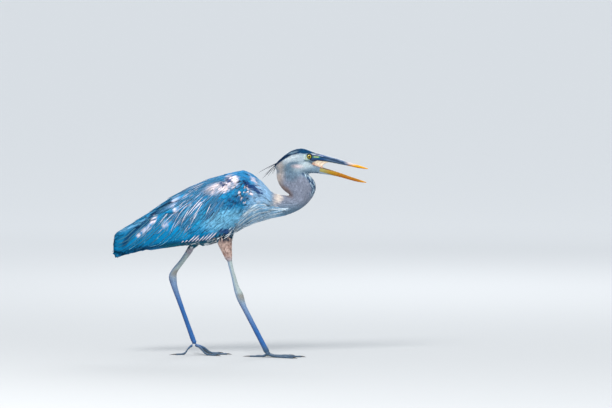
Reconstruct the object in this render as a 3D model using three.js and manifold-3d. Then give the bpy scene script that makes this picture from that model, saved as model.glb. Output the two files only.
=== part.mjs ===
// A great blue heron in mid step, neck folded and bill open, at life size.
// Millimetres. +X is the way it faces, +Y its left, +Z up; it stands on z = 0.
import * as THREE from "three";
import { mergeVertices } from "three/addons/utils/BufferGeometryUtils.js";
import Module from "manifold-3d";

const wasm = await Module();
wasm.setup();

// ---------------------------------------------------------------- driving dimensions
const GAP = 0.3; // clearance kept between touching pieces
const REACH = 200; // half width of the cutting prisms, wider than the bird
const WING_THICKNESS = 7; // folded wing, coverts over quills
const HIP_SPREAD = 32; // each hip's distance from the midline
const FOOT_SPREAD = 39; // each foot's distance from the midline
const HALF_BILL_WIDTH = 11.4; // upper bill where it leaves the face
const EYE = { x: 190.5, y: 9.4, z: 550.5, radius: 8.4 };
const MIDDLE_TOE = 90; // without its claw
const INNER_TOE = 74;
const OUTER_TOE = 80;
const HIND_TOE = 50;
const FRONT_CLAW = 15;
const HIND_CLAW = 21;
const TOE_WIDTH = 8; // at the root of the middle toe

const BODY_SIDES = 20;
const NECK_SIDES = 16;
const HEAD_SIDES = 16;
const BILL_SIDES = 12;
const LEG_SIDES = 8;
const TOE_SIDES = 8;
const DOME_RINGS = 3; // rings that round off an end

// ---------------------------------------------------------------- shaping
// One section of a long form: a point on its upper or rear outline, one on its lower or
// front outline, and the half width across. A fill under 1 squares the lower half.
function station(topX, topZ, underX, underZ, half, side = 0, fill = 1) {
  return {
    top: new THREE.Vector3(topX, side, topZ),
    under: new THREE.Vector3(underX, side, underZ),
    breadth: new THREE.Vector3(half, fill, 0),
  };
}

function curveOf(points) {
  return new THREE.CatmullRomCurve3(points, false, "catmullrom", 0.5);
}

// The section at a fraction of the way along smooth curves through the stations.
function sectionMaker(stations) {
  const top = curveOf(stations.map((each) => each.top));
  const under = curveOf(stations.map((each) => each.under));
  const breadth = curveOf(stations.map((each) => each.breadth));
  return (fraction) => {
    const upper = top.getPoint(fraction);
    const lower = under.getPoint(fraction);
    const across = breadth.getPoint(fraction);
    const rise = upper.clone().sub(lower).multiplyScalar(0.5);
    return {
      centre: upper.clone().add(lower).multiplyScalar(0.5),
      up: rise.clone().normalize(),
      height: rise.length(),
      half: across.x,
      fill: across.y,
    };
  };
}

// A ring of points round a section, scaled about its centre and shifted by a vector.
function ringPoints(section, sides, grow, scale, shift) {
  const points = [];
  for (let side = 0; side < sides; side += 1) {
    const angle = (2 * Math.PI * side) / sides;
    const rise = Math.cos(angle);
    const reach = Math.sin(angle);
    const power = rise < 0 ? section.fill : 1;
    const lift = Math.sign(rise) * Math.abs(rise) ** power * (section.height + grow) * scale;
    const out = Math.sign(reach) * Math.abs(reach) ** power * (section.half + grow) * scale;
    const point = section.centre.clone().addScaledVector(section.up, lift).add(shift);
    point.y += out;
    points.push(point);
  }
  return points;
}

// A closed form skinned over rings, with a fan to a tip point at each end.
function skinOver(rings, startTip, endTip) {
  const sides = rings[0].length;
  const points = [...rings.flat(), startTip, endTip];
  const startIndex = points.length - 2;
  const endIndex = points.length - 1;
  const faces = [];
  for (let side = 0; side < sides; side += 1) {
    const next = (side + 1) % sides;
    faces.push(startIndex, next, side);
    for (let ring = 0; ring < rings.length - 1; ring += 1) {
      const near = ring * sides;
      const far = near + sides;
      faces.push(near + side, near + next, far + next);
      faces.push(near + side, far + next, far + side);
    }
    const last = (rings.length - 1) * sides;
    faces.push(last + side, last + next, endIndex);
  }
  return new THREE.BufferGeometry().setFromPoints(points).setIndex(faces);
}

// A loft through stations. from and to are station numbers; lead moves the first ring
// ahead by a clearance; startDome and endDome round off the ends by that many millimetres.
function loft(stations, options) {
  const { steps, sides, grow = 0, from = 0, to = stations.length - 1 } = options;
  const { lead = 0, startDome = 0, endDome = 0 } = options;
  const sectionAt = sectionMaker(stations);
  const last = stations.length - 1;
  const sections = [];
  for (let step = 0; step <= steps; step += 1) {
    sections.push(sectionAt((from + ((to - from) * step) / steps) / last));
  }
  const still = new THREE.Vector3();
  const rings = sections.map((section) => ringPoints(section, sides, grow, 1, still));
  const across = new THREE.Vector3(0, 1, 0);
  const first = sections[0];
  const final = sections[steps];
  const ahead = sections[1].centre.clone().sub(first.centre);
  const forward = across.clone().cross(first.up);
  if (forward.dot(ahead) < 0) forward.negate();
  const onward = across.clone().cross(final.up);
  if (onward.dot(final.centre.clone().sub(sections[steps - 1].centre)) < 0) onward.negate();
  if (lead) rings[0].forEach((point) => point.addScaledVector(forward, lead));
  for (let turn = 1; startDome && turn < DOME_RINGS; turn += 1) {
    const angle = (Math.PI / 2) * (turn / DOME_RINGS);
    const shift = forward.clone().multiplyScalar(-startDome * Math.sin(angle));
    rings.unshift(ringPoints(first, sides, grow, Math.cos(angle), shift));
  }
  for (let turn = 1; endDome && turn < DOME_RINGS; turn += 1) {
    const angle = (Math.PI / 2) * (turn / DOME_RINGS);
    const shift = onward.clone().multiplyScalar(endDome * Math.sin(angle));
    rings.push(ringPoints(final, sides, grow, Math.cos(angle), shift));
  }
  const startTip = first.centre.clone().addScaledVector(forward, lead - startDome);
  const endTip = final.centre.clone().addScaledVector(onward, endDome);
  return skinOver(rings, startTip, endTip);
}

// A manifold solid from a closed geometry, turned right side out.
function solidOf(geometry) {
  const bare = geometry.clone();
  bare.deleteAttribute("normal");
  bare.deleteAttribute("uv");
  const merged = mergeVertices(bare, 1e-4);
  const vertProperties = new Float32Array(merged.attributes.position.array);
  const triVerts = new Uint32Array(merged.index.array);
  const make = () => new wasm.Manifold(new wasm.Mesh({ numProp: 3, vertProperties, triVerts }));
  const made = make();
  if (made.volume() > 0) return made;
  for (let corner = 0; corner < triVerts.length; corner += 3) {
    [triVerts[corner], triVerts[corner + 1]] = [triVerts[corner + 1], triVerts[corner]];
  }
  return make();
}

// An outline in the side view, carried across the bird from one y to another.
function prism(outline, fromY, toY) {
  const shape = new THREE.Shape(outline);
  const geometry = new THREE.ExtrudeGeometry(shape, { depth: toY - fromY, bevelEnabled: false });
  geometry.rotateX(Math.PI / 2);
  geometry.translate(0, toY, 0);
  return solidOf(geometry);
}

function ball(radius, x, y, z, detail = 10) {
  const geometry = new THREE.SphereGeometry(radius, detail, Math.round(detail * 0.75));
  geometry.translate(x, y, z);
  return solidOf(geometry);
}

// ---------------------------------------------------------------- colours
function coat(color, roughness = 0.9) {
  return new THREE.MeshStandardMaterial({ color, roughness, metalness: 0 });
}

const SLATE_BLUE = 0x3f6f96;
const DEEP_BLUE = 0x1f4a6c;
const FLANK_BLUE = 0x6fa3c6;
const NECK_GREY = 0x9699a6;
const CHEEK_WHITE = 0xd4dde0;
const CAP_NAVY = 0x12345a;
const THIGH_RUFOUS = 0xc3a196;
const SHANK_GREY = 0x90a0a2;
const TARSUS_BLUE = 0x3c6c98;
const UPPER_BILL_SLATE = 0x465064;
const LOWER_BILL_OCHRE = 0xc07a18;
const MOUTH_PEACH = 0xe4c8ae;
const IRIS_YELLOW = 0xc9b21c;
const CLAW_HORN = 0x2c2c30;

const model = new THREE.Group();

function addPiece(group, name, solid, material) {
  const mesh = solid.getMesh();
  const geometry = new THREE.BufferGeometry();
  const positions = new THREE.BufferAttribute(new Float32Array(mesh.vertProperties), 3);
  geometry.setAttribute("position", positions);
  geometry.setIndex(new THREE.BufferAttribute(new Uint32Array(mesh.triVerts), 1));
  geometry.translate(-group.position.x, -group.position.y, -group.position.z);
  geometry.computeVertexNormals();
  const piece = new THREE.Mesh(geometry, material);
  piece.name = name;
  group.add(piece);
}

// ---------------------------------------------------------------- body and folded wings
// Outer form of body and wings: x, height of the back, height of the belly, half width,
// and how square the under half of the section is.
const BODY_FORM = [
  [-352, 319, 271, 22, 0.85],
  [-335.5, 339.5, 269.5, 24, 0.8],
  [-302.5, 360, 281, 28, 0.8],
  [-247.5, 394.5, 293.5, 36, 0.78],
  [-192.5, 434, 301, 46, 0.77],
  [-137.5, 466, 306, 56, 0.77],
  [-82.5, 489, 312.5, 64, 0.8],
  [-41, 501.5, 332, 70, 0.85],
  [-14, 508.5, 347, 72, 0.9],
  [11, 513, 357.5, 70, 1],
  [38.5, 500, 371, 62, 1],
  [63, 479, 381, 50, 1],
  [85, 454, 389, 37, 1],
];
const RUMP_STATION = 3; // the body proper ends here, under the wing tips
const BREAST_ROUNDING = 16;
const RUMP_ROUNDING = 18;
const BODY_STATIONS = BODY_FORM.map(([x, back, belly, half, fill]) =>
  station(x, back, x, belly, half, 0, fill),
);

function bodyForm(grow) {
  return solidOf(
    loft(BODY_STATIONS, {
      steps: BODY_STATIONS.length - 1,
      sides: BODY_SIDES,
      grow,
      endDome: BREAST_ROUNDING + grow,
    }),
  );
}

// The space left inside the wings runs on past their tips.
function spaceUnderWings(grow) {
  const open = BODY_STATIONS.slice();
  open.unshift(station(-380, 300, -380, 250, 20, 0, 0.85));
  return solidOf(loft(open, { steps: open.length - 1, sides: BODY_SIDES, grow }));
}

function bodyProper(grow) {
  return solidOf(
    loft(BODY_STATIONS, {
      steps: BODY_STATIONS.length - 1 - RUMP_STATION,
      sides: BODY_SIDES,
      grow,
      from: RUMP_STATION,
      startDome: RUMP_ROUNDING + grow,
      endDome: BREAST_ROUNDING + grow,
    }),
  );
}

// Edge of the folded wing in side view: below the mantle, round the wrist, back along the flank.
const WING_EDGE = [
  [-212, 422],
  [-187, 426],
  [-137.5, 445.5],
  [-82.5, 466],
  [-27.5, 482.5],
  [8, 491],
  [30, 481],
  [44, 462],
  [47, 441.5],
  [37, 416.5],
  [19, 392],
  [-3, 370],
  [-30, 348],
  [-66, 330],
  [-110, 320.5],
  [-151, 315],
  [-220, 306.5],
  [-289, 296.5],
  [-349, 290.5],
];
const BEHIND_THE_BIRD = [
  [-371, 289],
  [-385, 361.5],
  [-261, 425],
];
const EDGE_POINTS = 19;
// Where the coverts end and the quills begin, from the back down to the flank.
const COVERT_LINE = [
  [-181.5, 471.5],
  [-115.5, 279],
];

function wingOutline() {
  const edge = WING_EDGE.map(([x, z]) => new THREE.Vector2(x, z));
  const smooth = new THREE.SplineCurve(edge).getPoints(EDGE_POINTS);
  return [...smooth, ...BEHIND_THE_BIRD.map(([x, z]) => new THREE.Vector2(x, z))];
}

// The band ahead of the covert line, moved back by a clearance. It reaches past the bird's
// breast and back.
const PAST_THE_BREAST = 100;
const PAST_THE_BACK = 570;

function aheadOfCovertLine(back) {
  const [[topX, topZ], [lowX, lowZ]] = COVERT_LINE;
  const corners = [
    [topX - back, topZ],
    [lowX - back, lowZ],
    [PAST_THE_BREAST, lowZ],
    [PAST_THE_BREAST, PAST_THE_BACK],
    [topX - back, PAST_THE_BACK],
  ];
  return prism(
    corners.map(([x, z]) => new THREE.Vector2(x, z)),
    -REACH,
    REACH,
  );
}

const outerForm = bodyForm(0);
const wingRoom = spaceUnderWings(-WING_THICKNESS);
const wings = new THREE.Group();
model.add(wings);

function buildWing(side, name) {
  const outline = wingOutline();
  const inner = GAP / 2;
  const half = side < 0 ? prism(outline, -REACH, -inner) : prism(outline, inner, REACH);
  const wing = outerForm.intersect(half).subtract(wingRoom);
  const coverts = wing.intersect(aheadOfCovertLine(0));
  const quills = wing.subtract(aheadOfCovertLine(GAP));
  addPiece(wings, "wing_coverts_" + name, coverts, coat(SLATE_BLUE));
  addPiece(wings, "wing_quills_" + name, quills, coat(DEEP_BLUE));
}

buildWing(-1, "right");
buildWing(1, "left");

const grownBody = bodyProper(GAP);

function buildTrunk() {
  const wingBed = prism(wingOutline(), -REACH, REACH).subtract(
    spaceUnderWings(-WING_THICKNESS - GAP),
  );
  addPiece(model, "trunk", bodyProper(0).subtract(wingBed), coat(FLANK_BLUE));
}

buildTrunk();

// ---------------------------------------------------------------- tail
// Twelve closed feathers lie as one shallow arch under the wing tips.
const TAIL_THICKNESS = 5;
const TAIL_THINNING = 0.55; // how much thinner its outer edges are
const TAIL_SPANS = 6;
const TAIL_STEPS = 5;
const TAIL_STATIONS = [
  station(-179, 326, -179, 302.5, 18),
  station(-247.5, 306, -247.5, 293.5, 11),
  station(-302.5, 296, -302.5, 281, 18),
  station(-352, 289.5, -352, 267.5, 25),
];

function archedRing(section) {
  const drop = 2 * section.height - TAIL_THICKNESS;
  const upper = [];
  const lower = [];
  for (let span = 0; span <= TAIL_SPANS; span += 1) {
    const across = (2 * span) / TAIL_SPANS - 1;
    const height = section.centre.z + section.height - drop * across * across;
    const thickness = TAIL_THICKNESS * (1 - TAIL_THINNING * across * across);
    upper.push(new THREE.Vector3(section.centre.x, section.half * across, height));
    lower.unshift(new THREE.Vector3(section.centre.x, section.half * across, height - thickness));
  }
  return [...upper, ...lower];
}

function buildTail() {
  const sectionAt = sectionMaker(TAIL_STATIONS);
  const rings = [];
  for (let step = 0; step <= TAIL_STEPS; step += 1) {
    rings.push(archedRing(sectionAt(step / TAIL_STEPS)));
  }
  // The ends are fanned from a point inside the blade's own thickness.
  const middleOf = (ring) =>
    ring[TAIL_SPANS / 2].clone().add(ring[ring.length - 1 - TAIL_SPANS / 2]).multiplyScalar(0.5);
  const tail = solidOf(skinOver(rings, middleOf(rings[0]), middleOf(rings[TAIL_STEPS])));
  addPiece(model, "tail", tail.subtract(grownBody), coat(DEEP_BLUE));
}

buildTail();

// ---------------------------------------------------------------- head
const SKULL_STATIONS = [
  station(93.5, 526, 104, 514, 6),
  station(102.5, 536.5, 121, 500.5, 15),
  station(121, 553.5, 143, 496.5, 19),
  station(143, 568, 165, 496.5, 20.5),
  station(165, 573.5, 181.5, 504.5, 19.5),
  station(181.5, 571, 190, 518.5, 17.5),
  station(195, 565, 199.5, 532, 15),
  station(209, 560, 213.5, 536.5, HALF_BILL_WIDTH),
];
const JAW_STATIONS = [
  station(154, 546, 157, 504.5, 13),
  station(176, 539, 177.5, 503, 15),
  station(198, 530, 198, 504, 13),
  station(221.5, 524.5, 222, 502.5, 9.5),
];
const NAPE_ROUNDING = 3;

function headForm(grow) {
  const skull = loft(SKULL_STATIONS, {
    steps: 10,
    sides: HEAD_SIDES,
    grow,
    startDome: NAPE_ROUNDING + grow,
  });
  const jaw = loft(JAW_STATIONS, { steps: 5, sides: HEAD_SIDES, grow });
  return solidOf(skull).add(solidOf(jaw));
}

const headGroup = new THREE.Group();
model.add(headGroup);

function buildHead() {
  const socket = (side) => ball(EYE.radius + GAP, EYE.x, side * EYE.y, EYE.z);
  const head = headForm(0).subtract(socket(-1)).subtract(socket(1));
  addPiece(headGroup, "head", head, coat(CHEEK_WHITE));
  for (const [side, name] of [
    [-1, "right"],
    [1, "left"],
  ]) {
    const eye = ball(EYE.radius, EYE.x, side * EYE.y, EYE.z);
    addPiece(headGroup, "eye_" + name, eye, coat(IRIS_YELLOW, 0.1));
  }
}

buildHead();

// The bill: two horn blades, open, with the tongue lying in the lower one.
const UPPER_BILL_STATIONS = [
  station(209, 560, 213.5, 536.5, HALF_BILL_WIDTH),
  station(234, 553.5, 235, 535.3, 9.8),
  station(264, 545.4, 264, 530, 7.6),
  station(297, 534.4, 297, 524, 5.2),
  station(327, 526.2, 327, 518, 2.9),
  station(352, 517.4, 352, 514.9, 0.6),
];
const LOWER_BILL_STATIONS = [
  station(221.5, 524.5, 222, 502.5, 9.5),
  station(245, 517.4, 245, 499.5, 7.8),
  station(272, 507.6, 272, 494.3, 5.8),
  station(302.5, 495.9, 302.5, 485.6, 3.8),
  station(327, 487.2, 327, 479.6, 2),
  station(347.5, 480, 347.5, 477.6, 0.5),
];
const TONGUE_STATIONS = [
  station(220, 523.5, 220, 515.5, 3.6),
  station(245, 515, 245, 507.5, 3.6),
  station(275, 504.8, 275, 502, 2),
  station(291, 500, 291, 498.5, 0.8),
];

// Both blades are hollowed along their biting faces, the lower one as a trough.
const PALATE_STATIONS = [
  station(206, 541, 207, 530, 6.5),
  station(240, 539, 240, 527, 5.6),
  station(280, 530, 280, 521, 3.4),
  station(318, 520.5, 318, 513, 1),
];
const TROUGH_STATIONS = [
  station(214, 538, 214, 514, 6.2),
  station(245, 527, 245, 506, 5.2),
  station(275, 514, 275, 501, 3.4),
  station(310, 498.5, 310, 490.5, 1.2),
];

function buildBill() {
  const shape = { steps: 9, sides: BILL_SIDES };
  const palate = solidOf(loft(PALATE_STATIONS, { steps: 5, sides: 8 }));
  const trough = solidOf(loft(TROUGH_STATIONS, { steps: 5, sides: 8 }));
  const upper = solidOf(loft(UPPER_BILL_STATIONS, { ...shape, lead: GAP })).subtract(palate);
  const lower = solidOf(loft(LOWER_BILL_STATIONS, { ...shape, lead: GAP })).subtract(trough);
  addPiece(headGroup, "bill_upper", upper, coat(UPPER_BILL_SLATE, 0.4));
  addPiece(headGroup, "bill_lower", lower, coat(LOWER_BILL_OCHRE, 0.4));
  const grownLower = solidOf(loft(LOWER_BILL_STATIONS, { ...shape, grow: GAP }));
  const bed = grownLower.subtract(trough);
  const tongue = solidOf(loft(TONGUE_STATIONS, { steps: 5, sides: 6, endDome: 1 }));
  const free = tongue.subtract(bed).subtract(headForm(GAP));
  addPiece(headGroup, "tongue", free, coat(MOUTH_PEACH, 0.5));
}

buildBill();

// Two long nape plumes trail behind the cap.
const PLUME_STATIONS = {
  right: [
    station(97, 531, 97, 528, 1.5, -5),
    station(71.5, 517, 71.5, 514.2, 1.3, -7),
    station(47, 505, 47, 503.6, 0.6, -9),
  ],
  left: [
    station(95, 526.5, 97, 523.5, 1.5, 4),
    station(76, 505.5, 78, 503.5, 1.3, 5),
    station(60, 487.5, 61, 486.3, 0.6, 6),
  ],
};

function buildCrest() {
  const grownHead = headForm(GAP);
  for (const [name, stations] of Object.entries(PLUME_STATIONS)) {
    const plume = solidOf(loft(stations, { steps: 5, sides: 6 }));
    addPiece(headGroup, "crest_plume_" + name, plume.subtract(grownHead), coat(CAP_NAVY));
  }
}

buildCrest();

// ---------------------------------------------------------------- neck
// It leaves the body level, turns sharply back on itself and rises to the head, so the
// sections fan out round the crease behind the fold.
const NECK_STATIONS = [
  station(60.5, 460.5, 60.5, 378, 34),
  station(88, 449.5, 88, 381, 31),
  station(118, 444, 121, 386.5, 28),
  station(136, 441.5, 151, 397.5, 27),
  station(141, 443, 174.5, 411, 26),
  station(136, 447, 194, 430.5, 25),
  station(126.5, 452.5, 205, 448, 25),
  station(114, 463.5, 209.5, 466, 25),
  station(105, 478.5, 205.5, 482.5, 24.5),
  station(100.5, 496.5, 194, 496.5, 23),
  station(100.5, 515.5, 179, 510, 21),
  station(110, 537.5, 170.5, 532, 17),
];
const FOLD_START = 4;
const FOLD_END = 7;

function neckLength(from, to, steps, lead) {
  return solidOf(loft(NECK_STATIONS, { steps, sides: NECK_SIDES, from, to, lead }));
}

const grownLowerNeck = solidOf(
  loft(NECK_STATIONS, { steps: 6, sides: NECK_SIDES, to: FOLD_START, grow: GAP }),
);

function buildNeck() {
  const lower = neckLength(0, FOLD_START, 6, 0).subtract(grownBody);
  const middle = neckLength(FOLD_START, FOLD_END, 5, GAP);
  const upper = neckLength(FOLD_END, NECK_STATIONS.length - 1, 6, GAP).subtract(headForm(GAP));
  addPiece(model, "neck_lower", lower, coat(NECK_GREY));
  addPiece(model, "neck_middle", middle, coat(NECK_GREY));
  addPiece(model, "neck_upper", upper, coat(NECK_GREY));
}

buildNeck();

// ---------------------------------------------------------------- breast plumes
// Long loose plumes hang from the neck's base and lie back along the belly as a low keel.
const BREAST_PLUME_STATIONS = [
  station(104, 402, 106, 386.5, 5),
  station(82.5, 400, 82.5, 379, 14),
  station(41, 392, 41, 366.5, 18),
  station(0, 372.5, 0, 347.5, 18),
  station(-33, 356, -38.5, 325, 15),
  station(-71.5, 331.5, -74, 308, 11),
  station(-104, 316, -104, 303, 6),
];

function breastPlumes(grow) {
  return solidOf(loft(BREAST_PLUME_STATIONS, { steps: 10, sides: 10, grow, endDome: 6 }));
}

function buildBreastPlumes() {
  const plumes = breastPlumes(0).subtract(grownBody).subtract(grownLowerNeck);
  addPiece(model, "breast_plumes", plumes, coat(CHEEK_WHITE));
}

buildBreastPlumes();

// ---------------------------------------------------------------- legs
// Rear and front outlines in side view; each leg drifts outwards as it goes down. A toe
// joint's landing is the share of a toe's length over which it comes down to the ground.
const LEG_TOP = 300;
function legStation(rearX, rearZ, frontX, frontZ, half) {
  const height = (rearZ + frontZ) / 2;
  const fall = THREE.MathUtils.clamp((LEG_TOP - height) / LEG_TOP, 0, 1);
  const out = HIP_SPREAD + (FOOT_SPREAD - HIP_SPREAD) * fall;
  return { rearX, rearZ, frontX, frontZ, half, out };
}

const RIGHT_LEG = {
  side: -1,
  thigh: [
    legStation(-72, 353.5, -11, 359, 21),
    legStation(-61.5, 312, -20.5, 320.5, 16),
    legStation(-50, 290, -21, 293, 11.5),
    legStation(-38.5, 267, -21.5, 267, 8),
  ],
  shank: [
    legStation(-38.5, 279, -23, 279, 5.5),
    legStation(-29.5, 243.5, -18, 246, 4.6),
    legStation(-22.5, 216, -10, 220, 4.5),
    legStation(-17.5, 190, -3, 196.5, 5),
    legStation(-14, 176, 4, 184, 6.5),
  ],
  tarsus: [
    legStation(-14, 176, 4, 184, 6.5),
    legStation(-10, 163.5, 9.5, 173, 7.5),
    legStation(-4, 150, 13.5, 158, 6.3),
    legStation(5, 133.5, 19, 139, 5),
    legStation(29.5, 86.5, 42.5, 92.5, 4.3),
    legStation(52, 42.5, 65, 48.5, 4.3),
    legStation(66, 14.5, 80, 20, 5),
  ],
  toeJoint: { x: 77, z: 9.6, radius: 7, landing: 0.24 },
};
const LEFT_LEG = {
  side: 1,
  thigh: [
    legStation(-112, 352, -82, 326, 17),
    legStation(-138, 309, -122.5, 298.5, 9),
    legStation(-151, 288, -137.5, 279, 6.4),
  ],
  shank: [
    legStation(-144.5, 297, -130, 287, 5.2),
    legStation(-166, 264, -153, 257, 4.8),
    legStation(-186, 240, -170.5, 233.5, 4.9),
    legStation(-196, 224, -175, 223.5, 6.2),
  ],
  tarsus: [
    legStation(-196, 224, -175, 223.5, 6.2),
    legStation(-197, 210.5, -175, 212.5, 7.5),
    legStation(-192, 194, -174, 197.5, 6.3),
    legStation(-185.5, 176, -170.5, 180, 5),
    legStation(-167.5, 128, -155, 131.5, 4.3),
    legStation(-149, 75.5, -136.5, 79.5, 4.3),
    legStation(-137, 40, -123, 43.5, 5),
  ],
  toeJoint: { x: -127.5, z: 36, radius: 7, landing: 0.52 },
};

function legLoft(leg, part, options) {
  const stations = leg[part].map((each) =>
    station(each.rearX, each.rearZ, each.frontX, each.frontZ, each.half, leg.side * each.out),
  );
  return solidOf(loft(stations, options));
}

// ---------------------------------------------------------------- feet
// Each toe is made in its own side view, joint at x = 0, then turned to its heading.
// It slopes from the toe joint to the ground and lies on it, with pads at its joints.
const TOE_STEPS = 7;
const TOE_TAPER = 0.42; // how much narrower the tip is
const TOE_DROP = 0.75; // share of the joint's height from which a toe starts to fall
const PAD_SWELL = 0.1;
const PAD_REST = 0.86; // height of the toe's middle over its radius, so its pads lie flat
const TOE_START = 5; // inside the rounded toe joint
const CLAW_OVERLAP = 1.5; // how far a claw reaches back into its toe before it is cut
const CLAW_GIRTH = 0.86; // claw's root over the toe's tip
const INNER_HEADING = 33; // degrees from straight ahead
const OUTER_HEADING = 31;
const HIND_HEADING = 12; // degrees from straight behind

function toeStations(toe, joint) {
  const stations = [];
  const landing = toe.length * joint.landing;
  for (let step = 0; step <= TOE_STEPS; step += 1) {
    const fraction = step / TOE_STEPS;
    const along = TOE_START + (toe.length - TOE_START) * fraction;
    const pads = 1 + PAD_SWELL * Math.cos(2 * Math.PI * fraction * toe.pads);
    const radius = (toe.width / 2) * (1 - TOE_TAPER * fraction) * pads;
    const slope = Math.max(0, 1 - along / landing);
    const fall = (joint.z - radius) * TOE_DROP * slope * (2 - slope);
    const height = radius * PAD_REST + fall;
    stations.push(station(along, height + radius, along, height - radius, radius));
  }
  return stations;
}

function placeToe(geometry, toe, joint, footY) {
  geometry.rotateZ(toe.heading);
  geometry.translate(joint.x, footY, 0);
  return solidOf(geometry);
}

// A claw's sections: place along it, then top, underside and half width over its girth.
const CLAW_FORM = [
  [0.3, 2.1, 0.5, 0.75],
  [0.65, 1.5, 0.35, 0.5],
  [1, 0.42, 0.09, 0.17],
];

function clawStations(toe) {
  const radius = (toe.width / 2) * (1 - TOE_TAPER) * CLAW_GIRTH;
  const root = toe.length - CLAW_OVERLAP;
  const stations = CLAW_FORM.map(([share, top, under, half]) => {
    const along = toe.length + toe.claw * share;
    return station(along, radius * top, along, radius * under, radius * half);
  });
  return [station(root, radius * 2.1, root, 0, radius * 0.95), ...stations];
}

const FLOOR_HALF_LENGTH = 500;
const FLOOR_DEPTH = 60;
const FLOOR_BLOCK = prism(
  [
    [-FLOOR_HALF_LENGTH, -FLOOR_DEPTH],
    [FLOOR_HALF_LENGTH, -FLOOR_DEPTH],
    [FLOOR_HALF_LENGTH, 0],
    [-FLOOR_HALF_LENGTH, 0],
  ].map(([x, z]) => new THREE.Vector2(x, z)),
  -REACH,
  REACH,
);

// side is -1 for the right foot; headings open the toes evenly to both sides.
function toesOf(side) {
  const degrees = THREE.MathUtils.degToRad;
  return [
    {
      name: "middle",
      length: MIDDLE_TOE,
      heading: 0,
      claw: FRONT_CLAW,
      pads: 4,
      width: TOE_WIDTH,
    },
    {
      name: "inner",
      length: INNER_TOE,
      heading: -side * degrees(INNER_HEADING),
      claw: FRONT_CLAW,
      pads: 3,
      width: TOE_WIDTH * 0.94,
    },
    {
      name: "outer",
      length: OUTER_TOE,
      heading: side * degrees(OUTER_HEADING),
      claw: FRONT_CLAW,
      pads: 4,
      width: TOE_WIDTH * 0.94,
    },
    {
      name: "hind",
      length: HIND_TOE,
      heading: Math.PI + side * degrees(HIND_HEADING),
      claw: HIND_CLAW,
      pads: 2,
      width: TOE_WIDTH * 0.9,
    },
  ];
}

function buildFoot(group, leg, name) {
  const { side, toeJoint: joint } = leg;
  const footY = side * FOOT_SPREAD;
  let taken = ball(joint.radius + GAP, joint.x, footY, joint.z, 8);
  for (const toe of toesOf(side)) {
    const shape = { steps: TOE_STEPS, sides: TOE_SIDES };
    const stations = toeStations(toe, joint);
    const toeSolid = placeToe(loft(stations, shape), toe, joint, footY);
    const grown = placeToe(loft(stations, { ...shape, grow: GAP }), toe, joint, footY);
    const claw = placeToe(loft(clawStations(toe), { steps: 4, sides: 6 }), toe, joint, footY);
    const flat = toeSolid.subtract(FLOOR_BLOCK).subtract(taken);
    addPiece(group, "toe_" + toe.name + "_" + name, flat, coat(TARSUS_BLUE, 0.6));
    const freeClaw = claw.subtract(grown).subtract(FLOOR_BLOCK);
    addPiece(group, "claw_" + toe.name + "_" + name, freeClaw, coat(CLAW_HORN, 0.4));
    taken = taken.add(grown);
  }
}

function buildLeg(leg, name) {
  const group = new THREE.Group();
  group.position.set(leg.thigh[0].rearX, leg.side * HIP_SPREAD, leg.thigh[0].rearZ);
  model.add(group);
  const thighShape = { steps: 6, sides: 12 };
  const thigh = legLoft(leg, "thigh", thighShape)
    .subtract(bodyForm(GAP))
    .subtract(breastPlumes(GAP));
  const grownThigh = legLoft(leg, "thigh", { ...thighShape, grow: GAP });
  const shank = legLoft(leg, "shank", { steps: 6, sides: LEG_SIDES }).subtract(grownThigh);
  const tarsus = legLoft(leg, "tarsus", { steps: 10, sides: LEG_SIDES, lead: GAP, endDome: 6 });
  const { toeJoint: joint } = leg;
  const knuckle = ball(joint.radius, joint.x, leg.side * FOOT_SPREAD, joint.z, 8);
  addPiece(group, "thigh_" + name, thigh, coat(THIGH_RUFOUS));
  addPiece(group, "shank_" + name, shank.subtract(grownBody), coat(SHANK_GREY, 0.6));
  addPiece(group, "tarsus_" + name, tarsus.add(knuckle), coat(TARSUS_BLUE, 0.6));
  buildFoot(group, leg, name);
}

buildLeg(RIGHT_LEG, "right");
buildLeg(LEFT_LEG, "left");

export default model;
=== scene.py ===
import math

import bmesh
import bpy
import numpy as np
from mathutils import Matrix, Vector
from mathutils.bvhtree import BVHTree


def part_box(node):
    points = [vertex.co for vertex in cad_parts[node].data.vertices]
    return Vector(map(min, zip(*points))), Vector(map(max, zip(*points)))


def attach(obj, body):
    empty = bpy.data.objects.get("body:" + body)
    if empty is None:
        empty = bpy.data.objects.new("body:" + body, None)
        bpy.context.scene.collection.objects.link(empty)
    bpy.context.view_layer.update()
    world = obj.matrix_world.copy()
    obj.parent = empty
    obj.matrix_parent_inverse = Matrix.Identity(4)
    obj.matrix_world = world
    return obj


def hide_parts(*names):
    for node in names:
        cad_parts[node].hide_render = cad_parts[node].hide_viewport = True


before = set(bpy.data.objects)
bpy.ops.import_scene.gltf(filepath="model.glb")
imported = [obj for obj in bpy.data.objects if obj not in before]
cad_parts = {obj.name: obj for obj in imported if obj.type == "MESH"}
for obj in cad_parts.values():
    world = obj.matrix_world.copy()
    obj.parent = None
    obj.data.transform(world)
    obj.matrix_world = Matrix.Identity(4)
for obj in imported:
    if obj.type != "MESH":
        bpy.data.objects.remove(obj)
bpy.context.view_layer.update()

# ------------------------------------------------------------------ studio
# A pale seamless floor, one large soft key from the bird's upper rear right, a fill and a
# back light. The camera looks square at the bird's right side from a little above it.
MM = 0.001
VIEW_WIDTH = 1683 * MM  # what the frame's long side spans at the bird
VIEW_CENTRE = Vector((181.5 * MM, 0, 419.4 * MM))
VIEW_RISE = math.radians(3.4)
LENS = 300
SENSOR = 36

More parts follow.
